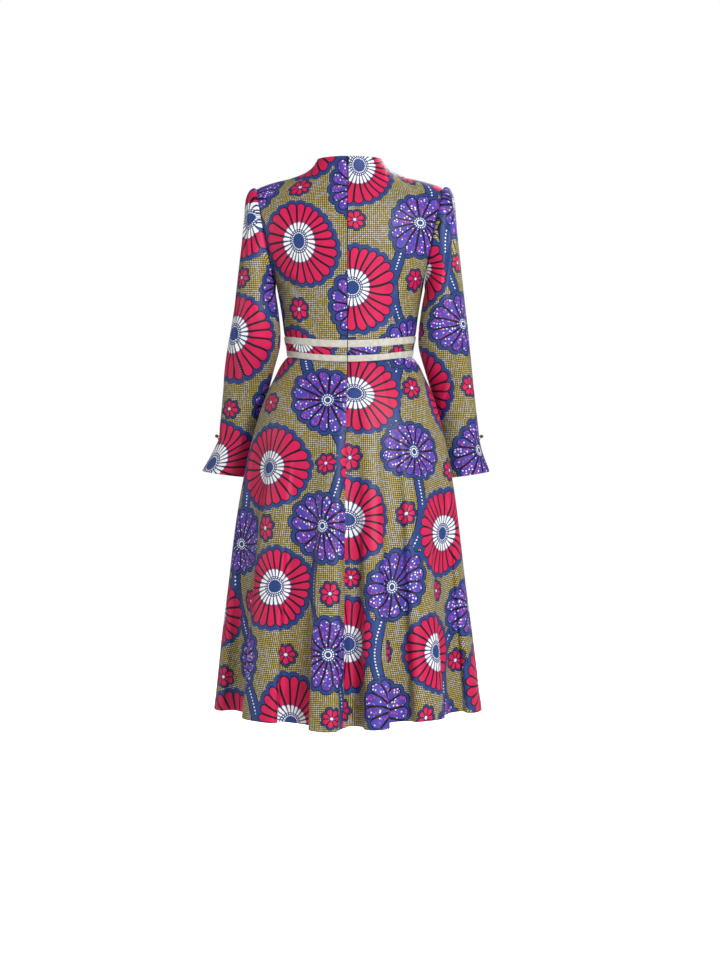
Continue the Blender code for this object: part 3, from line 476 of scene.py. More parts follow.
def armhole(angles):
    # An oval: its middle, plus half its height times cos a, plus its depth times sin a.
    turn = np.radians(np.asarray(angles, float))[..., None]
    depth = np.where(np.sin(turn) > 0, armholeDepth["back"], armholeDepth["front"])
    upright = (shoulderTip + underarm) / 2 + (shoulderTip - underarm) / 2 * np.cos(turn)
    return upright + backwards * depth * np.sin(turn)


def bentSection(centre, edge, turn, u):
    # Part of an ellipse: across goes as sin, and the fall-back as 1 - cos, of an angle up to turn.
    angle = np.radians(turn) * u
    across = np.sin(angle) / math.sin(math.radians(turn))
    down = (1 - np.cos(angle)) / (1 - math.cos(math.radians(turn)))
    points = centre + (edge - centre) * down[:, None]
    points[:, 0] = centre[0] + (edge[0] - centre[0]) * across
    return points


bodice = dict(
    fine=5,                                   # rows and columns of the cut for each one of the solid's
    backCounts=(3, 3, 4, 3, 3, 3), frontCounts=(3, 3, 2, 2, 3, 3, 2), columns=13, neckColumns=5,
    neck=(0.069, 0.066, 0.0505, 0.051),       # half width, back depth, side height, back height
    yoke=(0.080, 0.0745, 0.036, 0.006, 0.019),  # half width, back depth, side depth, back and side height
    yokeAngle=26,
    # stitched lines, each by its depth and width: turned-in neck edge, pressed zip edge, shoulder, dart
    neckHem=0.006, neckLine=(0.0004, 0.0012), zipEdge=0.0065, zipLine=(0.0003, 0.0012),
    shoulderDip=(0.0007, 0.0020), shoulderFade=0.008, dartDip=(0.0017, 0.0030),
    backDart=(0.100, -0.014, 0.165), frontDart=(0.070, 0.004, 0.085),   # foot, lean and top
    # ridges and troughs of the backs, in millimetres out from the zip and up from the waist
    leftCreases=(
        (20, 10, 75, 50, 7, 2.2), (50, 6, 110, 62, 8, -2.5), (85, 4, 128, 52, 6, 2),
        (104, 85, 150, 130, 7, -2.8), (96, 104, 146, 156, 7, 2.5), (120, 150, 148, 215, 6, -2.8),
        (132, 160, 158, 240, 6, 2.5), (10, 250, 60, 290, 12, -1.3), (30, 85, 85, 120, 12, 1.4),
        (100, 300, 160, 325, 10, -1.4),
    ),
    rightCreases=(
        (16, 8, 62, 36, 7, 2.1), (40, 5, 100, 50, 7, -2.7), (70, 4, 118, 70, 7, 2.8),
        (92, 10, 136, 64, 6, -2.4), (98, 76, 150, 118, 7, 2.7), (88, 92, 144, 146, 8, -2.5),
        (116, 150, 146, 222, 6, 3.1), (126, 142, 154, 236, 6, -2.8), (20, 90, 80, 112, 12, -1.4),
        (100, 290, 158, 318, 10, 1.4),
    ),
    # those of the front, out from the centre, the same on both sides but weaker on the right
    frontCreases=(
        (20, 6, 70, 52, 8, 1.8), (52, 4, 108, 58, 8, -2.2), (108, 60, 158, 118, 7, 2.2),
        (96, 82, 150, 140, 8, -2.3), (40, 110, 90, 150, 12, -1.6), (120, 180, 150, 240, 6, 2.1),
        (70, 240, 130, 290, 10, -1.4),
    ),
)
backSections = table("height depth angle turn", (-0.120, 0.117, 108, 66), (-0.048, 0.102, 58, 56))
frontSections = table(
    "height opening depth angle turn fullness",
    (-0.165, 0.000, 0.131, 140, 78, 0.006), (-0.110, 0.024, 0.114, 104, 66, 0.003),
    (-0.050, 0.046, 0.084, 62, 54, 0.000), (0.008, 0.060, 0.046, 28, 40, 0.000),
)


def fineCounts(counts):
    # Rows of the cut for each gap, from the solid's.
    return [bodice["fine"] * count for count in counts]


backArmholeAngles = loft([180, *backSections["angle"], bodice["yokeAngle"], 0],
                         fineCounts(bodice["backCounts"][2:]))
frontArmholeAngles = 360 - loft([180, *frontSections["angle"], 0], fineCounts(bodice["frontCounts"][2:]))


def pinEdge(rows, edge, u):
    # Moves the outer end of each row onto the armhole, and the rest along by u squared.
    rows += (edge - rows[:, -1])[:, None] * (u**2)[None, :, None]


def backPanel():
    # Rows from the waist up, each from the zip out: torso rings, then bent sections out to the
    # armhole, then the yoke and the neck rim with the shoulder seam.
    count = bodice["columns"] * bodice["fine"]
    neckCount = bodice["neckColumns"] * bodice["fine"]
    u = np.linspace(0, 1, count + 1)
    sections = [torsoRing(row, 90 * u) for row in (waistTop, underBust, chest)]
    sections += [bentSection(np.array([0, depth, height]), armhole(angle), turn, u)
                 for height, depth, angle, turn in zip(*backSections.values())]
    turn = np.radians(np.linspace(0, 90, neckCount + 1))
    along = np.linspace(0, 1, count + 1 - neckCount)
    sine, cosine = np.sin(turn), np.cos(turn)
    seam = smoothRows(shoulderLine, along * (len(shoulderLine) - 1))
    width, depth, sideHeight, backHeight = bodice["neck"]
    rim = np.stack([width * sine, depth * cosine, sideHeight + (backHeight - sideHeight) * cosine], axis=-1)
    width, backDepth, sideDepth, backLow, sideLow = bodice["yoke"]
    yokeNeck = np.stack([width * sine, sideDepth + (backDepth - sideDepth) * cosine,
                         backLow + (sideLow - backLow) * (1 - cosine)], axis=-1)
    start, end = yokeNeck[-1] - seam[0], armhole(bodice["yokeAngle"]) - seam[-1]
    fade = np.stack([(1 - along) ** 2, 1 - along**2, (1 - along) ** 3], axis=-1)
    grow = np.stack([along**2, along**2, 1 - (1 - along) ** 3], axis=-1)
    sections.append(np.concatenate([yokeNeck[:-1], seam + start * fade + end * grow]))
    sections.append(np.concatenate([rim[:-1], seam]))
    low = bodice["fine"] * sum(bodice["backCounts"][:2])
    grid = loft(sections, fineCounts(bodice["backCounts"]))
    grid[:low] = torsoBand(waistTop, chest, 90 * u, low)[:-1]
    pinEdge(grid[low:], armhole(backArmholeAngles), u)
    grid[:, :, 0] = cloth["zipSlot"] / 2 + grid[:, :, 0] * (1 - cloth["zipSlot"] / 2 / grid[:, -1:, 0])
    grid[:, :, 1] += cloth["seam"] / 2
    grid[0, :, 2] += cloth["seam"]
    return grid


def frontPanel():
    # Rows from the waist up, each from the centre front or the neckline out, fuller beside the centre.
    u = np.linspace(0, 1, bodice["columns"] * bodice["fine"] + 1)
    counts = bodice["frontCounts"]
    sections = [torsoRing(row, 180 - 90 * u) for row in (waistTop, underBust, chest)]
    sections += [bentSection(np.array([opening, -depth, height]), armhole(360 - angle), turn, u)
                 for height, opening, depth, angle, turn, _ in zip(*frontSections.values())]
    sections.append(smoothRows(shoulderLine, u * (len(shoulderLine) - 1)))
    low = bodice["fine"] * sum(counts[:2])
    grid = loft(sections, fineCounts(counts))
    grid[:low] = torsoBand(waistTop, chest, 180 - 90 * u, low)[:-1]
    grid[: bodice["fine"] * sum(counts[:3]) + 1, 0, 0] = 0
    fullness = loft([0, 0.001, 0.008, *frontSections["fullness"], 0], fineCounts(counts))
    grid[:, :, 1] -= fullness[:, None] * np.sin(np.pi * u) ** 2
    pinEdge(grid[low:], armhole(frontArmholeAngles), u)
    grid[:, :, 1] -= cloth["seam"] / 2
    grid[0, :, 2] += cloth["seam"]
    return grid


def mirrored(grid):
    # The same shape on the dress's right, with its columns turned round so that it faces outwards.
    flip = np.array([-1, 1, 1]) if grid.shape[-1] == 3 else np.array([-1, 1])
    return (grid * flip)[:, ::-1]


def edgeGrooves(around, along, columns, rows):
    # Seams at the named edge columns and rows: the cloth dips towards the stitching.
    lift = np.zeros_like(around)
    for column in columns:
        lift += groove(around - around[:, [column]], cloth["seamDepth"], cloth["seamWidth"])
    for row in rows:
        lift += groove(along - along[[row]], cloth["seamDepth"], cloth["seamWidth"])
    return lift


def panelShape(around, along, dart, neckCount=0):
    # A bodice panel's seams: those at the armhole and waist, a dart that rises from its foot and fades
    # as the square root of what is left, and the shoulder's, which fades towards the neck.
    foot, lean, top = dart
    shape = edgeGrooves(around, along, columns=(-1,), rows=(0,))
    fade = np.clip(1 - along / top, 0, 1) ** 0.5
    shape += groove(around - (foot + lean * along / top), *bodice["dartDip"]) * fade
    fromNeck = np.clip((around - around[:, [neckCount]]) / bodice["shoulderFade"], 0, 1)
    return shape + groove(along - along[[-1]], *bodice["shoulderDip"]) * fromNeck


def makeBodice():
    grid = backPanel()
    around, along = arcLengths(grid, 0, 0)
    neckCount = bodice["neckColumns"] * bodice["fine"]
    shape = panelShape(around, along, bodice["backDart"], neckCount)
    neckEdge = along[:, :neckCount] - along[[-1], :neckCount] + bodice["neckHem"]
    shape[:, :neckCount] += groove(neckEdge, *bodice["neckLine"])
    shape += groove(around - bodice["zipEdge"], *bodice["zipLine"])
    for side, shift in (("left", (0.031, 0.468)), ("right", (0.118, 0.287))):
        lift = shape + creases(around, along, bodice[side + "Creases"])
        patch = (grid, np.stack([around + shift[0], along + shift[1]], axis=-1), lift)
        if side == "left":
            patch = tuple(part[:, ::-1] for part in patch)
        else:
            patch = (grid * np.array([-1, 1, 1]), patch[1] * np.array([-1, 1]), lift)
        piece = cottonPiece("backBodice_" + side, [patch], "bodice_back_" + side)
    grid = frontPanel()
    around, along = arcLengths(grid, 0, 0)
    shape = panelShape(around, along, bodice["frontDart"])
    necked = along > along[bodice["fine"] * sum(bodice["frontCounts"][:3]), 0]
    shape += np.where(necked, groove(around - bodice["neckHem"], *bodice["neckLine"]), 0)
    folds = creases(around, along, bodice["frontCreases"])
    plan = np.stack([around, along + 0.11], axis=-1)
    weaker = shape + 0.7 * folds
    patches = [(grid, plan, shape + folds), (mirrored(grid), mirrored(plan), weaker[:, ::-1])]
    piece = cottonPiece("frontBodice", patches, "bodice_front")
    print("bodice made")


makeBodice()


waist = dict(
    ribbonWidth=0.0132, ribbonThickness=0.0008, ribbonEdge=0.0007, columns=90, rows=14, ribbonRows=9,
    # cross creases of the band, and the ribbons' slight waves: height, and length of the wave over 2 pi
    bandCreases=(0.0004, 0.011), ribbonWave=(0.00012, 0.013),
    outerEdges=(0.008, 0.992),                # where the ribbons' outer edges lie on the band
    # the slanting ribbon: degrees round, how many it turns, share up the band, how much it rises
    slant=(128, -37, 0.16, 0.64),
)


def waistAngles(side, count):
    # From one edge of the piece to the other, in degrees round the waist.
    slot = math.degrees(cloth["zipSlot"] / 2 / torso["halfWidth"][waistTop])
    seam = math.degrees(cloth["seam"] / 2 / torso["frontDepth"][waistTop])
    ends = dict(back_left=(90 - seam, slot), back_right=(-slot, seam - 90), front=(270 - seam, 90 + seam))
    return np.linspace(*ends[side], count + 1)


def ribbonPiece(name, strip, waves, node, raised):
    # Across its width a ribbon is flat, and thins over the last tenth towards its woven edges. Along
    # it waves as height * sin(d / length + start).
    around, along = arcLengths(strip, 0, 0)
    height, length, start = waves
    wave = height * np.sin(around / length + start)
    share = np.linspace(0, 1, len(strip))
    edge = np.clip(np.minimum(share, 1 - share) / 0.10, 0, 1)
    lift = waist["ribbonEdge"] * (np.sqrt(1 - (1 - edge) ** 2) - 1) * 0.5
    patch = (strip, np.stack([around, along], axis=-1), lift[:, None] + wave)
    return clothPiece(name, [patch], waist["ribbonThickness"], ribbonCloth, "ribbon", node, raised)


def makeWaist():
    height = torso["sideHeight"][waistTop] - torso["sideHeight"][waistLow]
    share = waist["ribbonWidth"] / height
    bottom, top = waist["outerEdges"]
    crease, creaseLength = waist["bandCreases"]
    wave, waveLength = waist["ribbonWave"]
    for side, width, shift, seams in (
        ("back_left", 1, (0.062, 0.355), (0,)), ("back_right", 1, (0.020, 0.245), (-1,)),
        ("front", 2, (0.0, 0.06), (0, -1)),
    ):
        angles = waistAngles(side, width * waist["columns"])
        grid = torsoBand(waistLow, waistTop, angles, waist["rows"])
        around, along = arcLengths(grid, 0, 0)
        lift = edgeGrooves(around, along, columns=seams, rows=(0, -1))
        # slight cross creases where the band bends round the waist
        uneven = np.sin(around / creaseLength + 2.2 * np.sin(around / 0.045))
        lift += crease * uneven * np.sin(np.pi * np.clip(along / height, 0, 1))
        plan = np.stack([around + shift[0], along + shift[1]], axis=-1)
        name = "waistband_" + side
        piece = cottonPiece("waistBand_" + side, [(grid, plan, lift)], name)
        for level, low, high in (("lower", bottom, share), ("upper", 1 - share, top)):
            strip = torsoBand(low, high, angles, waist["ribbonRows"] - 1)
            piece = ribbonPiece(f"{level}Ribbon_{side}", strip, (wave, waveLength, low * 9),
                                f"ribbon_{level}_{side}", cloth["seam"] + 0.001)
    # the slanting ribbon at the left side of the front, on top of the others
    t = np.linspace(0, 1, 41)
    angle, turned, middle, rise = waist["slant"]
    across = np.linspace(-0.5 * share, 0.5 * share, waist["ribbonRows"])
    strip = [[torsoRing(middle + rise * step + row, angle + turned * step) for step in t] for row in across]
    piece = ribbonPiece("slantingRibbon", np.array(strip), (0, 1, 0), "ribbon_diagonal",
                        2 * cloth["seam"] + 0.002)
    print("waist made")


makeWaist()


skirtForm = table(
    "height halfWidth lean backDepth frontDepth rows",
    (-0.3870, 0.1480, 0.0000, 0.106, 0.110, 4), (-0.4110, 0.1600, 0.0005, 0.115, 0.118, 6),
    (-0.4540, 0.1800, 0.0010, 0.131, 0.130, 9), (-0.5030, 0.1950, 0.0020, 0.146, 0.143, 10),
    (-0.5550, 0.2070, 0.0030, 0.160, 0.155, 11), (-0.6040, 0.2160, 0.0040, 0.172, 0.166, 10),
    (-0.6770, 0.2265, 0.0050, 0.187, 0.180, 15), (-0.7550, 0.2350, 0.0060, 0.201, 0.193, 16),
    (-0.8580, 0.2440, 0.0060, 0.216, 0.208, 21), (-0.9610, 0.2545, 0.0055, 0.229, 0.222, 21),
    (-1.0640, 0.2635, 0.0045, 0.241, 0.235, 21), (-1.1245, 0.2690, 0.0040, 0.248, 0.242, 12),
)
# each flute: where its ridge lies round the hem, how far it stands out, how far the hollow after it
# falls back, how much higher the hem hangs there and which way the ridge leans over
flutes = table(
    "angle ridge hollow rise lean",
    (-37.5, 0.022, 0.024, 0.008, 0.34), (-13.5, 0.028, 0.027, -0.003, -0.10),
    (6.5, 0.029, 0.021, -0.007, 0.16), (39.5, 0.025, 0.021, 0.004, -0.32),
    (85.0, 0.019, 0.019, 0.000, -0.15), (120.0, 0.022, 0.023, 0.003, 0.25),
    (151.0, 0.025, 0.024, 0.005, -0.15), (181.0, 0.024, 0.025, 0.000, 0.20),
    (212.0, 0.025, 0.022, 0.005, -0.20), (243.0, 0.021, 0.019, 0.003, 0.22),
    (276.0, 0.019, 0.019, 0.000, 0.20),
)
skirt = dict(
    fluteStart=-0.47, hem=-1.1245, dipFade=0.07, zipEnd=-0.440, columnDegrees=0.75, deepen=1.1,
    coneReach=0.49, hemTurn=0.022, hemLine=(0.00035, 0.0016), squeeze=1.08, seamReach=2.6,
    # folds between the flutes: angle at the hem, width in degrees, height in mm, and the share of the
    # fall from which each grows
    ripples=(
        (-73, 2.8, 6, 0.3), (-62, 2.4, -5.5, 0.35), (-51, 2.2, 5.8, 0.3), (-28, 2.2, 6.2, 0.3),
        (-21, 1.8, -4.8, 0.4), (-4, 1.8, -4.8, 0.35), (17, 1.9, 5.8, 0.35), (27, 2.4, -6, 0.25),
        (33, 1.8, 4.3, 0.45), (51, 2.2, 6.2, 0.3), (61, 2.4, -6, 0.35), (70, 2.4, 5.5, 0.3),
        (98, 2.8, 5.3, 0.35), (108, 2.4, -5.3, 0.3), (134, 2.4, -5.5, 0.35), (142, 2.0, 4.8, 0.4),
        (165, 2.4, 5.8, 0.35), (174, 2.0, -4.6, 0.4), (196, 2.4, -5.5, 0.3), (203, 2.0, 4.3, 0.45),
        (228, 2.6, 5.8, 0.35), (236, 2.0, -4.8, 0.4), (258, 2.6, -5.5, 0.3), (267, 2.4, 4.8, 0.4),
    ),
    # drag lines from the waist seam: angle, width in degrees, height in mm, length down the skirt in metres
    pulls=(
        (-66, 2.6, 1.8, 0.14), (-48, 2.2, -1.9, 0.17), (-27, 2.0, 1.7, 0.15), (-10, 1.6, -0.8, 0.08),
        (12, 1.8, 0.9, 0.10), (31, 2.2, -1.9, 0.17), (50, 2.4, 1.2, 0.12), (70, 2.4, -1, 0.10),
        (110, 2.4, 1.7, 0.15), (138, 2.4, -1.1, 0.12), (166, 2.2, 1, 0.10), (200, 2.4, -1.1, 0.12),
        (231, 2.4, 1.1, 0.11), (255, 2.4, -1, 0.10),
    ),
)


def fluteWave(angles):
    # How far the flutes stand out at the hem: a cosine from ridge to ridge, its crest and hollow
    # scaled by their own heights; how much higher the hem hangs; and how many degrees the cloth is
    # drawn sideways, by a sine of twice the wave that steepens both flanks and a cosine that leans
    # the ridge.
    ridges, count = flutes["angle"], len(flutes["angle"])
    spread = np.concatenate([ridges[-2:] - 360, ridges, ridges[:2] + 360])
    numbers = np.arange(-2, count + 2)
    phase = np.interp(angles, spread, numbers)
    rise, lean = (np.interp(phase, numbers, flutes[name][numbers % count]) for name in ("rise", "lean"))
    wave = np.cos(2 * np.pi * phase)
    ridge = flutes["ridge"][np.round(phase).astype(int) % count]
    hollow = flutes["hollow"][np.floor(phase).astype(int) % count]
    gap = np.diff(spread)[np.clip(np.floor(phase).astype(int) + 2, 0, count + 2)]
    bow = gap * (skirt["squeeze"] * np.sin(4 * np.pi * phase) / (4 * np.pi) + lean * wave / (2 * np.pi))
    for seam in (-90, 0, 90, 270):
        bow = bow * (1 - np.exp(-(((angles - seam) / skirt["seamReach"]) ** 2)))
    return np.where(wave > 0, ridge, hollow) * wave, rise, bow


def skirtSurface(angles):
    # Rows from the hem up to the waist seam. The form is an ellipse at each level, and the flutes
    # stand on it along its normal, growing evenly with the fall.
    ring = torsoRing(waistLow, angles)
    side = torso["sideHeight"][waistLow]
    dip = side - ring[:, 2]
    stand, rise, bow = fluteWave(angles)
    rows = [ring]
    for height, halfWidth, lean, back, front, _ in zip(*skirtForm.values()):
        fall = np.clip((skirt["fluteStart"] - height) / (skirt["fluteStart"] - skirt["hem"]), 0, 1)
        turned = np.radians(angles + bow * math.sqrt(fall))
        sine, cosine = np.sin(turned), np.cos(turned)
        width, depth = halfWidth + lean * sine, np.where(cosine > 0, back, front)
        normal = np.stack([sine / width, cosine / depth, 0 * sine], axis=-1)
        normal /= np.linalg.norm(normal, axis=-1, keepdims=True)
        fade = np.clip(1 - (side - height) / skirt["dipFade"], 0, 1)
        ellipse = np.stack([width * sine, depth * cosine, height - dip * fade + rise * fall**2], axis=-1)
        rows.append(ellipse + normal * (skirt["deepen"] * stand * fall)[:, None])
    return loft(rows, skirtForm["rows"].astype(int))[::-1]


def makeSkirt():
    for side, name, low, high, shift in (
        ("back_left", "skirtBackLeft", 0, 90, (0.050, 0.040)),
        ("back_right", "skirtBackRight", -90, 0, (0.124, 0.155)),
        ("front", "skirtFront", 90, 270, (0.02, 0.09)),
    ):
        angles = np.linspace(high, low, round((high - low) / skirt["columnDegrees"]) + 1)
        grid = skirtSurface(angles)
        if side == "front":
            grid[:, [0, -1], 1] = -cloth["seam"] / 2
            middle, flat, area = len(angles) // 2, (1.00, 0.90), 0.58
        else:
            sign, middle, edge = (1, -1, 0) if side == "back_left" else (-1, 0, -1)
            part = np.clip((grid[:, middle, 2] - skirt["zipEnd"]) / 0.02, 0, 1)
            grid[:, middle, 0] = sign * (cloth["seam"] / 2 + (cloth["zipSlot"] - cloth["seam"]) / 2 * part)
            grid[:, edge, 1] = cloth["seam"] / 2
            flat, area = (0.55, 0.85), 0.295
        grid[-1, :, 2] -= cloth["seam"]
        around, along = arcLengths(grid, middle, -1)
        down = -along
        lift = edgeGrooves(around, along, columns=(0, -1), rows=(-1,))
        fall = down / down.max()
        for angle, width, height, start in skirt["ripples"]:
            fade = np.clip((fall - start) / (1 - start), 0, 1) ** 1.3
            lift += height / 1000 * np.exp(-(((angles - angle) / width) ** 2)) * fade
        for angle, width, height, length in skirt["pulls"]:
            fade = np.clip(1 - down / length, 0, 1) * np.clip(down / 0.01, 0, 1)
            lift += height / 1000 * np.exp(-(((angles - angle) / width) ** 2)) * fade
        # the hem is turned up and held by a blind stitch, which just shows as a shallow line
        lift += groove(down - (down.max(axis=0) - skirt["hemTurn"]), *skirt["hemLine"])
        # unrolled as part of a cone: the turn is the arc over the radius, and the radius grows downwards
        radius = skirt["coneReach"] + down
        turn = around / radius
        plan = np.stack([radius * np.sin(turn) + shift[0], -radius * np.cos(turn) + shift[1]], axis=-1)
        piece = cottonPiece(name, [(grid, plan, lift)], "skirt_" + side)
    print("skirt made")


makeSkirt()


sleeveForm = table(
    "outerWidth outerHeight innerWidth innerHeight halfDepth centreDepth leftShift rows",
    (0.2070, -0.0095, 0.1588, -0.2170, 0.0585, 0.000, 0, 4),
    (0.2165, -0.0165, 0.1592, -0.2190, 0.0600, 0.000, 0, 4),
    (0.2235, -0.0345, 0.1595, -0.2215, 0.0610, 0.000, 0, 4),
    (0.2265, -0.0700, 0.1597, -0.2250, 0.0620, 0.000, 0, 7),
    (0.2305, -0.1150, 0.1597, -0.2300, 0.0625, 0.002, 0, 9),
    (0.2360, -0.1650, 0.1585, -0.2380, 0.0620, 0.006, 0, 10),
    (0.2420, -0.2200, 0.1552, -0.2560, 0.0605, 0.011, 0, 10),
    (0.2475, -0.2700, 0.1510, -0.2840, 0.0580, 0.016, 0, 9),
    (0.2530, -0.3150, 0.1470, -0.3190, 0.0550, 0.017, 0.002, 9),
    (0.2565, -0.3500, 0.1475, -0.3520, 0.0520, 0.009, 0.006, 8),
    (0.2615, -0.3950, 0.1600, -0.3980, 0.0490, -0.013, 0.010, 9),
    (0.2665, -0.4400, 0.1730, -0.4440, 0.0465, -0.044, 0.012, 9),
    (0.2720, -0.4850, 0.1820, -0.4900, 0.0445, -0.065, 0.013, 9),
    (0.2765, -0.5200, 0.1880, -0.5260, 0.0430, -0.076, 0.0135, 7),
    (0.2795, -0.5480, 0.1910, -0.5550, 0.0430, -0.083, 0.014, 6),
    (0.2855, -0.5700, 0.1955, -0.5790, 0.0450, -0.089, 0.0155, 6),
    (0.2930, -0.5950, 0.1990, -0.6060, 0.0475, -0.096, 0.017, 6),
    (0.3005, -0.6200, 0.2010, -0.6340, 0.0500, -0.103, 0.019, 6),
)
sleeve = dict(
    ventRow=14, ventGap=0.012, ventEdge=0.007, edgeLine=(0.0004, 0.0012),
    hemTurn=0.020, hemLine=(0.0004, 0.0014), headRows=7,
    flare=dict(left=0.010, right=-0.003), curl=dict(left=0.0035, right=0.0050),
    # gathers at the head: height, wave, how far round they reach, where they peak and how they fade
    gathers=dict(left=0.0007, right=0.0013),
    gatherPitch=0.0105, gatherReach=0.095, gatherPeak=0.008, gatherFade=0.011,
    # ridges and troughs, in millimetres round from the outer side towards the back, and down
    leftCreases=(
        (30, 45, 52, 150, 6, 3), (48, 40, 66, 135, 6, -3.2), (66, 50, 80, 120, 6, 2.7),
        (20, 270, 95, 330, 9, -3.5), (30, 300, 110, 352, 8, 3.5), (12, 345, 100, 372, 8, -3),
        (-20, 330, -110, 372, 8, 3.5), (-30, 360, -120, 392, 8, -4.1), (-15, 395, -100, 415, 8, 3),
        (40, 400, 90, 480, 9, 2.4), (15, 440, 60, 560, 10, -2.7), (-30, 440, -60, 560, 10, 2.4),
        (60, 170, 105, 250, 10, 2.4), (-50, 60, -75, 170, 7, -2.7), (-70, 180, -110, 260, 10, 2.4),
    ),
    rightCreases=(
        (36, 50, 50, 150, 5, 4.1), (50, 45, 62, 165, 5, -4.3), (64, 50, 74, 150, 5, 3.8),
        (78, 60, 88, 130, 5, -3), (20, 285, 100, 322, 9, 3.5), (28, 312, 112, 340, 8, -3.8),
        (10, 350, 95, 380, 8, 3), (-24, 326, -112, 360, 8, -3.8), (-20, 352, -118, 384, 8, 3.8),
        (-18, 390, -100, 420, 8, -3), (36, 410, 84, 500, 9, -2.7), (10, 450, 50, 570, 10, 2.4),
        (-36, 450, -66, 560, 10, -2.4), (60, 180, 104, 262, 10, -2.4), (-52, 70, -78, 180, 7, 3),
    ),
)
sleeveRows = sleeveForm["rows"].astype(int)


def sleeveSurface(side):
    # Rings from the armhole down: each is an ellipse between its outer and inner points, and below
    # the vent row it opens by a gap that widens to the hem.
    angles = np.concatenate([backArmholeAngles[::-1], frontArmholeAngles[1:]])
    up = shoulderTip - underarm
    outward = np.array([up[2], 0, -up[0]]) / np.hypot(up[0], up[2])
    rings, last = [armhole(angles) + outward * cloth["seam"]], len(sleeveRows) - 1
    for row in range(last + 1):
        place = {name: values[row] for name, values in sleeveForm.items()}
        below = max(0, row - sleeve["ventRow"]) / (last - sleeve["ventRow"])
        out = place["leftShift"] if side == "left" else 0
        reach = place["outerWidth"] + out + sleeve["flare"][side] * below
        outer = np.array([reach, 0, place["outerHeight"]])
        inner = np.array([place["innerWidth"] + out / 2, 0, place["innerHeight"]])
        openAngle = math.degrees(sleeve["ventGap"] / 2 * below / place["halfDepth"])
        turn = np.radians(openAngle + angles * (1 - openAngle / 180))[:, None]
        centre = (outer + inner) / 2 + backwards * place["centreDepth"]
        deep = backwards * place["halfDepth"] * np.sin(turn)
        rings.append(centre + (outer - inner) / 2 * np.cos(turn) + deep)
    return loft(rings, sleeveRows)


def sleeveLift(side, ways, falls, seam):
    # How far a half of the sleeve is lifted: seams, creases, gathers, vent and hem. ways are metres
    # round from the outer side, falls metres down, and seam is the column under the arm.
    lift = groove(falls, cloth["seamDepth"], cloth["seamWidth"])
    lift += creases(ways, falls, sleeve[side + "Creases"])
    # the head is eased into the armhole: small gathers that fade within 25 mm, most of them on top
    top = np.clip(1 - np.abs(ways) / sleeve["gatherReach"], 0, 1)
    fade = np.exp(-(((falls - sleeve["gatherPeak"]) / sleeve["gatherFade"]) ** 2))
    lift += sleeve["gathers"][side] * top * np.sin(2 * np.pi * ways / sleeve["gatherPitch"]) * fade
    lift += groove(np.abs(ways) - np.abs(ways[:, [seam]]), cloth["seamDepth"], cloth["seamWidth"])
    # the vent's edges and the hem are turned in, and the vent's corners curl a little outwards
    vent = np.clip((falls - falls[sum(sleeveRows[: sleeve["ventRow"]])]) / 0.02, 0, 1)
    lift += groove(np.abs(ways) - sleeve["ventEdge"], *sleeve["edgeLine"]) * vent
    lift += groove(falls - (falls[-1:] - sleeve["hemTurn"]), *sleeve["hemLine"])
    corner = np.exp(-((ways / 0.022) ** 2)) * np.exp(-(((falls - falls[-1:]) / 0.030) ** 2))
    return lift + sleeve["curl"][side] * corner * vent


def makeSleeves():
    for side, shift in (("left", (0.36, 0.15)), ("right", (0.505, 0.318))):
        grid = sleeveSurface(side)
        around, down = arcLengths(grid, 0, 0)
        flatAcross, flatUp = hangingPlan(grid, sum(sleeveRows[: sleeve["headRows"]]))
        half = len(backArmholeAngles) - 1
        patches = []
        # the back half runs from its outer edge to the seam under the arm, and the front half on from there
        for part, outer, seam in ((slice(0, half + 1), 0, -1), (slice(half, None), -1, 0)):
            ways = around[:, part] - around[:, [outer]]
            wide = flatAcross[:, part] - flatAcross[:, [outer]]
            plan = np.stack([wide + shift[0], shift[1] - flatUp[:, part]], axis=-1)
            patches.append([grid[:, part], plan, sleeveLift(side, ways, down[:, part], seam)])
        if side == "right":
            patches = [(mirrored(g), p[:, ::-1], h[:, ::-1]) for g, p, h in patches]
        patches = [(g[::-1], p[::-1], h[::-1]) for g, p, h in patches]
        piece = cottonPiece("longSleeve_" + side, patches, "sleeve_" + side)
    print("sleeves made")


makeSleeves()


zipLook = dict(
    tapeHalf=0.0068, tapeDepth=0.0022, tapeThickness=0.0006, tapeCurve=6.0, tapeBow=0.0007, linePoints=220,
    tooth=0.0012, toothReach=0.00055, toothThickness=0.00042, toothLean=0.35, toothBow=0.0003,
    toothDepth=0.0009, topHeight=0.049,
    slider=(0.0052, 0.0020, 0.0070), sliderHeight=0.0455, sliderTaper=0.10,
    bar=(0.0, 0.07176, 0.0465), barHalf=0.0019, barRadius=0.0004, barStand=0.0020,
    lug=(0.0009, 0.0033, 0.0026), lugAside=0.00165, lugBack=0.0009,
    ringRadius=0.00122, ringThickness=0.00038, tabStart=0.0012, tabLength=0.0150, neckHalf=0.0008,
    tabHalfWidth=0.0023, tabHalfThickness=0.0005,
)
leftwards = np.array([1.0, 0, 0])


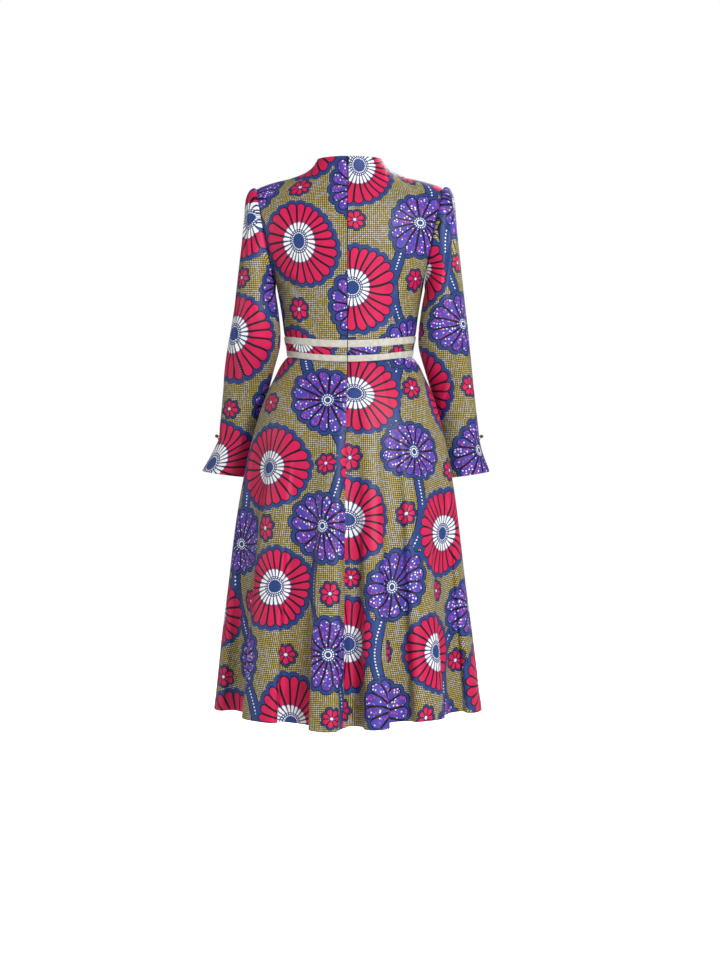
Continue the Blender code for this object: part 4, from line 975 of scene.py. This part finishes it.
def zipLine():
    # The centre back from the neck to below the waist seam, with the way out of the cloth.
    rows = np.concatenate([
        backPanel()[::-1, :2],
        torsoBand(waistTop, waistLow, waistAngles("back_left", waist["columns"])[:-3:-1], 12)[1:-1],
        skirtSurface(np.array([0.0, skirt["columnDegrees"]]))[::-1],
    ])
    rows = rows[(rows[:, 0, 2] > skirt["zipEnd"]) & (rows[:, 0, 2] < zipLook["topHeight"])]
    line = rows[:, 0] * np.array([0, 1, 1])
    length = np.concatenate([[0], np.cumsum(np.linalg.norm(np.diff(line, axis=0), axis=1))])
    even = np.linspace(0, length[-1], zipLook["linePoints"])
    line = np.stack([np.interp(even, length, line[:, n]) for n in range(3)], axis=1)
    along = np.gradient(line, axis=0)
    along /= np.linalg.norm(along, axis=1, keepdims=True)
    out = np.stack([0 * even, -along[:, 2], along[:, 1]], axis=-1)
    return line, out, even[-1]


def makeZip():
    line, out, length = zipLine()
    look = zipLook
    # the tape: a flat strip behind the cloth that falls back sideways with the curve of the back
    share = np.linspace(-1, 1, 15)
    aside = share * look["tapeHalf"]
    depth = look["tapeDepth"] + look["tapeCurve"] * aside**2 + look["tapeBow"] * np.abs(share)
    grid = line[::-1, None] + leftwards * aside[None, :, None] - out[::-1, None] * depth[None, :, None]
    grid = grid[:, ::-1]
    around, along = arcLengths(grid, 7, 0)
    patch = (grid, np.stack([around, along], axis=-1), 0 * around)
    piece = clothPiece("zipTape", [patch], look["tapeThickness"], tapeCloth, "zip", "zip")
    # the coil: rounded teeth, one after another from the left and the right, each leaning across the slot
    count = int(length / look["tooth"])
    at = (np.arange(count) + 0.5) / count * (len(line) - 1)
    low = at.astype(int)
    part = (at - low)[:, None]
    centre = line[low] * (1 - part) + line[np.minimum(low + 1, len(line) - 1)] * part
    outward = out[low]
    downward = np.cross(outward, leftwards)
    lean = np.where(np.arange(count) % 2 == 0, look["toothLean"], -look["toothLean"])
    # each tooth: six-sided rings at five places across, thinner at both ends, bowed outwards
    bend = np.linspace(-1, 1, 5)
    turn = 2 * np.pi * np.arange(6) / 6
    thick = look["toothThickness"] * np.sqrt(1.15 - bend**2)[:, None]
    across = (bend * look["toothReach"])[:, None] + 0 * turn
    upDown = thick * np.cos(turn) + lean[:, None, None] * across
    inOut = thick * np.sin(turn) - (bend**2 * look["toothBow"])[:, None] - look["toothDepth"]
    points = (centre[:, None, None] + leftwards * across[None, :, :, None]
              + downward[:, None, None] * upDown[..., None]
              + outward[:, None, None] * inOut[None, :, :, None])
    caps = np.array([[5, 4, 3, 2], [5, 2, 1, 0], [24, 25, 26, 27], [24, 27, 28, 29]])
    one = np.concatenate([np.array(tubeFaces(5, 6)[:-2]), caps])
    faces = (one[None] + 30 * np.arange(count)[:, None, None]).reshape(-1, 4)
    finish("zipCoil", points.reshape(-1, 3), faces, coilNylon, "zip")
    print("zip made")


makeZip()


def superEllipse(turn, power):
    # Across and deep on a rounded rectangle: each is the power of a cosine or a sine, with its sign.
    cosine, sine = np.cos(turn), np.sin(turn)
    return np.sign(cosine) * np.abs(cosine) ** power, np.sign(sine) * np.abs(sine) ** power


def roundedBlock(size, taper=0.0, rows=13, columns=32):
    # A block turned soft: each level is a super-ellipse of power 5, and its size closes at both ends
    # along a quarter circle. taper narrows it from the top down.
    width, depth, height = size
    t = np.linspace(-1, 1, rows)
    close = np.sqrt(1 - np.clip((np.abs(t) - 0.72) / 0.285, 0, 1) ** 2)
    x, y = superEllipse(2 * np.pi * np.arange(columns) / columns, 2 / 5)
    wide = width / 2 * (1 + taper * t) * (0.80 + 0.20 * close)
    deep = depth / 2 * (0.70 + 0.30 * close)
    points = np.stack([wide[:, None] * x, deep[:, None] * y, (t * height / 2)[:, None] + 0 * x], axis=-1)
    return points.reshape(-1, 3), tubeFaces(rows, columns)


def joined(parts):
    # Meshes set in their places and numbered on as one.
    points, faces, start = [], [], 0
    for block, quads, place in parts:
        points.append(block + place)
        faces += [[corner + start for corner in quad] for quad in quads]
        start += len(block)
    return np.concatenate(points), faces


def makeSlider():
    look, bar = zipLook, np.array(zipLook["bar"])
    middle = bar[1] - look["barStand"] - look["slider"][1] / 2
    place = np.array([0, middle, look["sliderHeight"]])
    parts = [(*roundedBlock(look["slider"], look["sliderTaper"]), place)]
    for sign in (-1, 1):
        place = np.array([sign * look["lugAside"], bar[1] - look["lugBack"], bar[2]])
        parts.append((*roundedBlock(look["lug"], rows=9, columns=24), place))
    reach = np.linspace(-look["barHalf"], look["barHalf"], 9)
    path = np.stack([reach, 0 * reach, 0 * reach], axis=1)
    parts.append((tubeAlong(path, look["barRadius"], 16), tubeFaces(9, 16), bar))
    finish("zipSlider", *joined(parts), enamel, "zip_metal", ["zip_slider"], smoothAngle=60)

    # the pull: a ring round the bar, and a drop whose half width grows, then closes round at its end
    turn = 2 * np.pi * np.arange(40) / 40
    ring = look["ringRadius"] * np.stack([0 * turn, np.cos(turn), np.sin(turn)], axis=1)
    ring = tubeAlong(ring, look["ringThickness"], 12, closed=True)
    drop = np.linspace(look["tabStart"], look["tabLength"], 40)
    share = drop / look["tabLength"]
    swell = np.clip((share - 0.18) / 0.55, 0, 1)
    half = look["neckHalf"] + (look["tabHalfWidth"] - look["neckHalf"]) * swell**2 * (3 - 2 * swell)
    half *= np.sqrt(np.clip(1 - np.clip((share - 0.80) / 0.2001, 0, 1) ** 2, 0.0004, 1))
    x, y = superEllipse(2 * np.pi * np.arange(32) / 32, 0.6)
    # the drop's middle is pressed a little thinner than its rim
    press = 1 - 0.25 * np.exp(-(((share[:, None] - 0.72) / 0.16) ** 2)) * (1 - x[None] ** 2)
    thick = look["tabHalfThickness"] * y * press * np.minimum(1, half / 0.0006)[:, None]
    tab = np.stack([half[:, None] * x, thick, -drop[:, None] + 0 * x], axis=-1).reshape(-1, 3)
    tabFaces = [quad[::-1] for quad in tubeFaces(40, 32)]
    parts = [(ring, tubeFaces(40, 12, closedRings=True), bar), (tab, tabFaces, bar)]
    finish("zipPull", *joined(parts), enamel, "zip_metal", ["zip_pull_tab"], body="pull_tab", smoothAngle=60)
    print("slider made")


makeSlider()


button = dict(
    radius=0.0038, foot=0.0016, gap=0.0002, shank=0.0030, shankRadius=(0.0013, 0.0012), pressed=0.035,
    row=13.75,                                # where it is sewn on, as a row of the sleeve's table
    loopRadius=0.0008, loopDrop=0.0085, loopHalf=0.0034, loopOut=(0.0022, 0.0014), loopLow=0.0004,
)


def makeButtons():
    # A ball turned about its shank, with shallow rings pressed into it.
    turn = np.radians(np.linspace(22, 179, 40))
    radius = button["radius"] * (1 - button["pressed"] * np.cos(9 * turn) ** 2)
    ball = button["foot"] + button["radius"] - radius * np.cos(turn)
    along = np.concatenate([[-button["shank"], 0.4 * button["foot"]], ball])
    away = np.concatenate([button["shankRadius"], radius * np.sin(turn)])[:, None]
    around = 2 * np.pi * np.arange(40) / 40
    profile = np.stack([along[:, None] + 0 * around, away * np.cos(around), away * np.sin(around)], axis=-1)
    for side, sign in (("left", 1), ("right", -1)):
        place = {name: float(smoothRows(values, button["row"])) for name, values in sleeveForm.items()}
        out = place["outerWidth"] + button["gap"] + (place["leftShift"] if side == "left" else 0)
        foot = np.array([sign * out, place["centreDepth"], place["outerHeight"]])
        points = profile.reshape(-1, 3) * np.array([sign, 1, 1]) + foot
        faces = [quad[::sign] for quad in tubeFaces(len(along), 40)]
        finish("cuffButton_" + side, points, faces, oldBrass, "button", ["cuff_button_" + side])
        # the loop leaves one edge of the vent, passes under the ball and goes back into the edge
        t = np.linspace(0, 2 * np.pi, 48, endpoint=False)
        middle, swing = button["loopOut"]
        drop = button["loopDrop"] * (0.5 - 0.5 * np.cos(t)) + button["loopLow"]
        outwards = sign * (middle + swing * np.cos(t))
        path = np.stack([outwards, button["loopHalf"] * np.sin(t), -drop], axis=1)
        loop = tubeAlong(foot + path, button["loopRadius"], 10, closed=True)
        finish("cuffLoop_" + side, loop, tubeFaces(48, 10, closedRings=True), loopThread, "printed_cloth")
    print("buttons made")


makeButtons()


view = dict(lens=69.75, sensor=36, place=(-0.2, 3.995, -0.449), turn=(87.3527, 0, -177.4421))
studio = dict(
    floor=-1.605, half=9.0, aim=(0, 0, -0.55), floorGlow=0.94, wallGlow=1.0, bounce=0.055,
    softboxes=(                               # name, place, size and power
        ("keySoftbox", (-2.3, 3.8, 1.5), 1.0, 196), ("fillSoftbox", (2.6, 3.8, 0.2), 2.2, 20),
        ("frontSoftbox", (-1.2, -3.0, 1.6), 2.4, 110), ("topSoftbox", (0.0, 0.4, 3.0), 2.4, 16),
        ("leftSoftbox", (3.6, 0.2, 0.5), 2.2, 36), ("rightSoftbox", (-3.6, -0.6, 0.5), 2.2, 14),
    ),
)


def makeCamera():
    data = bpy.data.cameras.new("camera")
    data.lens = view["lens"]
    data.sensor_width = view["sensor"]
    camera = bpy.data.objects.new("camera", data)
    camera.location = view["place"]
    camera.rotation_euler = [math.radians(angle) for angle in view["turn"]]
    bpy.context.scene.collection.objects.link(camera)
    bpy.context.scene.camera = camera
    # plain colours, so that the cloth's hex values are what the eye sees in full light
    bpy.context.scene.view_settings.view_transform = "Standard"


def seenGlow(tree, seen):
    # White where the camera looks at it, and dimmer in what it throws back on the cloth.
    isSeen = addNode(tree, "LightPath", out="Is Camera Ray")
    return addNode(tree, "MapRange", isSeen, 0.0, 1.0, studio["bounce"], seen)


def makeStage():
    # A wide level floor under the dress, of matt white studio paint, lit so far up that it reads as white.
    corners = [(-1, -1), (1, -1), (1, 1), (-1, 1)]
    mesh = bpy.data.meshes.new("studioFloor")
    points = [(studio["half"] * x, studio["half"] * y, studio["floor"]) for x, y in corners]
    mesh.from_pydata(points, [], [(0, 1, 2, 3)])
    material, tree, shader = startMaterial("matt white studio paint", Base_Color=linear("#f4f4f2"),
                                           Roughness=0.9, Emission_Color=linear("#ffffff"))
    tree.links.new(seenGlow(tree, studio["floorGlow"]), shader.inputs["Emission Strength"])
    mesh.materials.append(material)
    floor = bpy.data.objects.new("studioFloor", mesh)
    bpy.context.scene.collection.objects.link(floor)

    # the far walls
    world = bpy.data.worlds.new("studio")
    bpy.context.scene.world = world
    world.use_nodes = True
    background = world.node_tree.nodes["Background"]
    background.inputs["Color"].default_value = linear("#ffffff")
    world.node_tree.links.new(seenGlow(world.node_tree, studio["wallGlow"]), background.inputs["Strength"])
    for name, place, size, power in studio["softboxes"]:
        light = bpy.data.lights.new(name, "AREA")
        light.shape, light.size, light.energy = "SQUARE", size, power
        lamp = bpy.data.objects.new(name, light)
        away = np.array(place) - np.array(studio["aim"])
        lamp.location = place
        lamp.rotation_euler = (math.acos(away[2] / np.linalg.norm(away)), 0, math.atan2(away[0], -away[1]))
        bpy.context.scene.collection.objects.link(lamp)


makeCamera()
makeStage()
print("stage made")
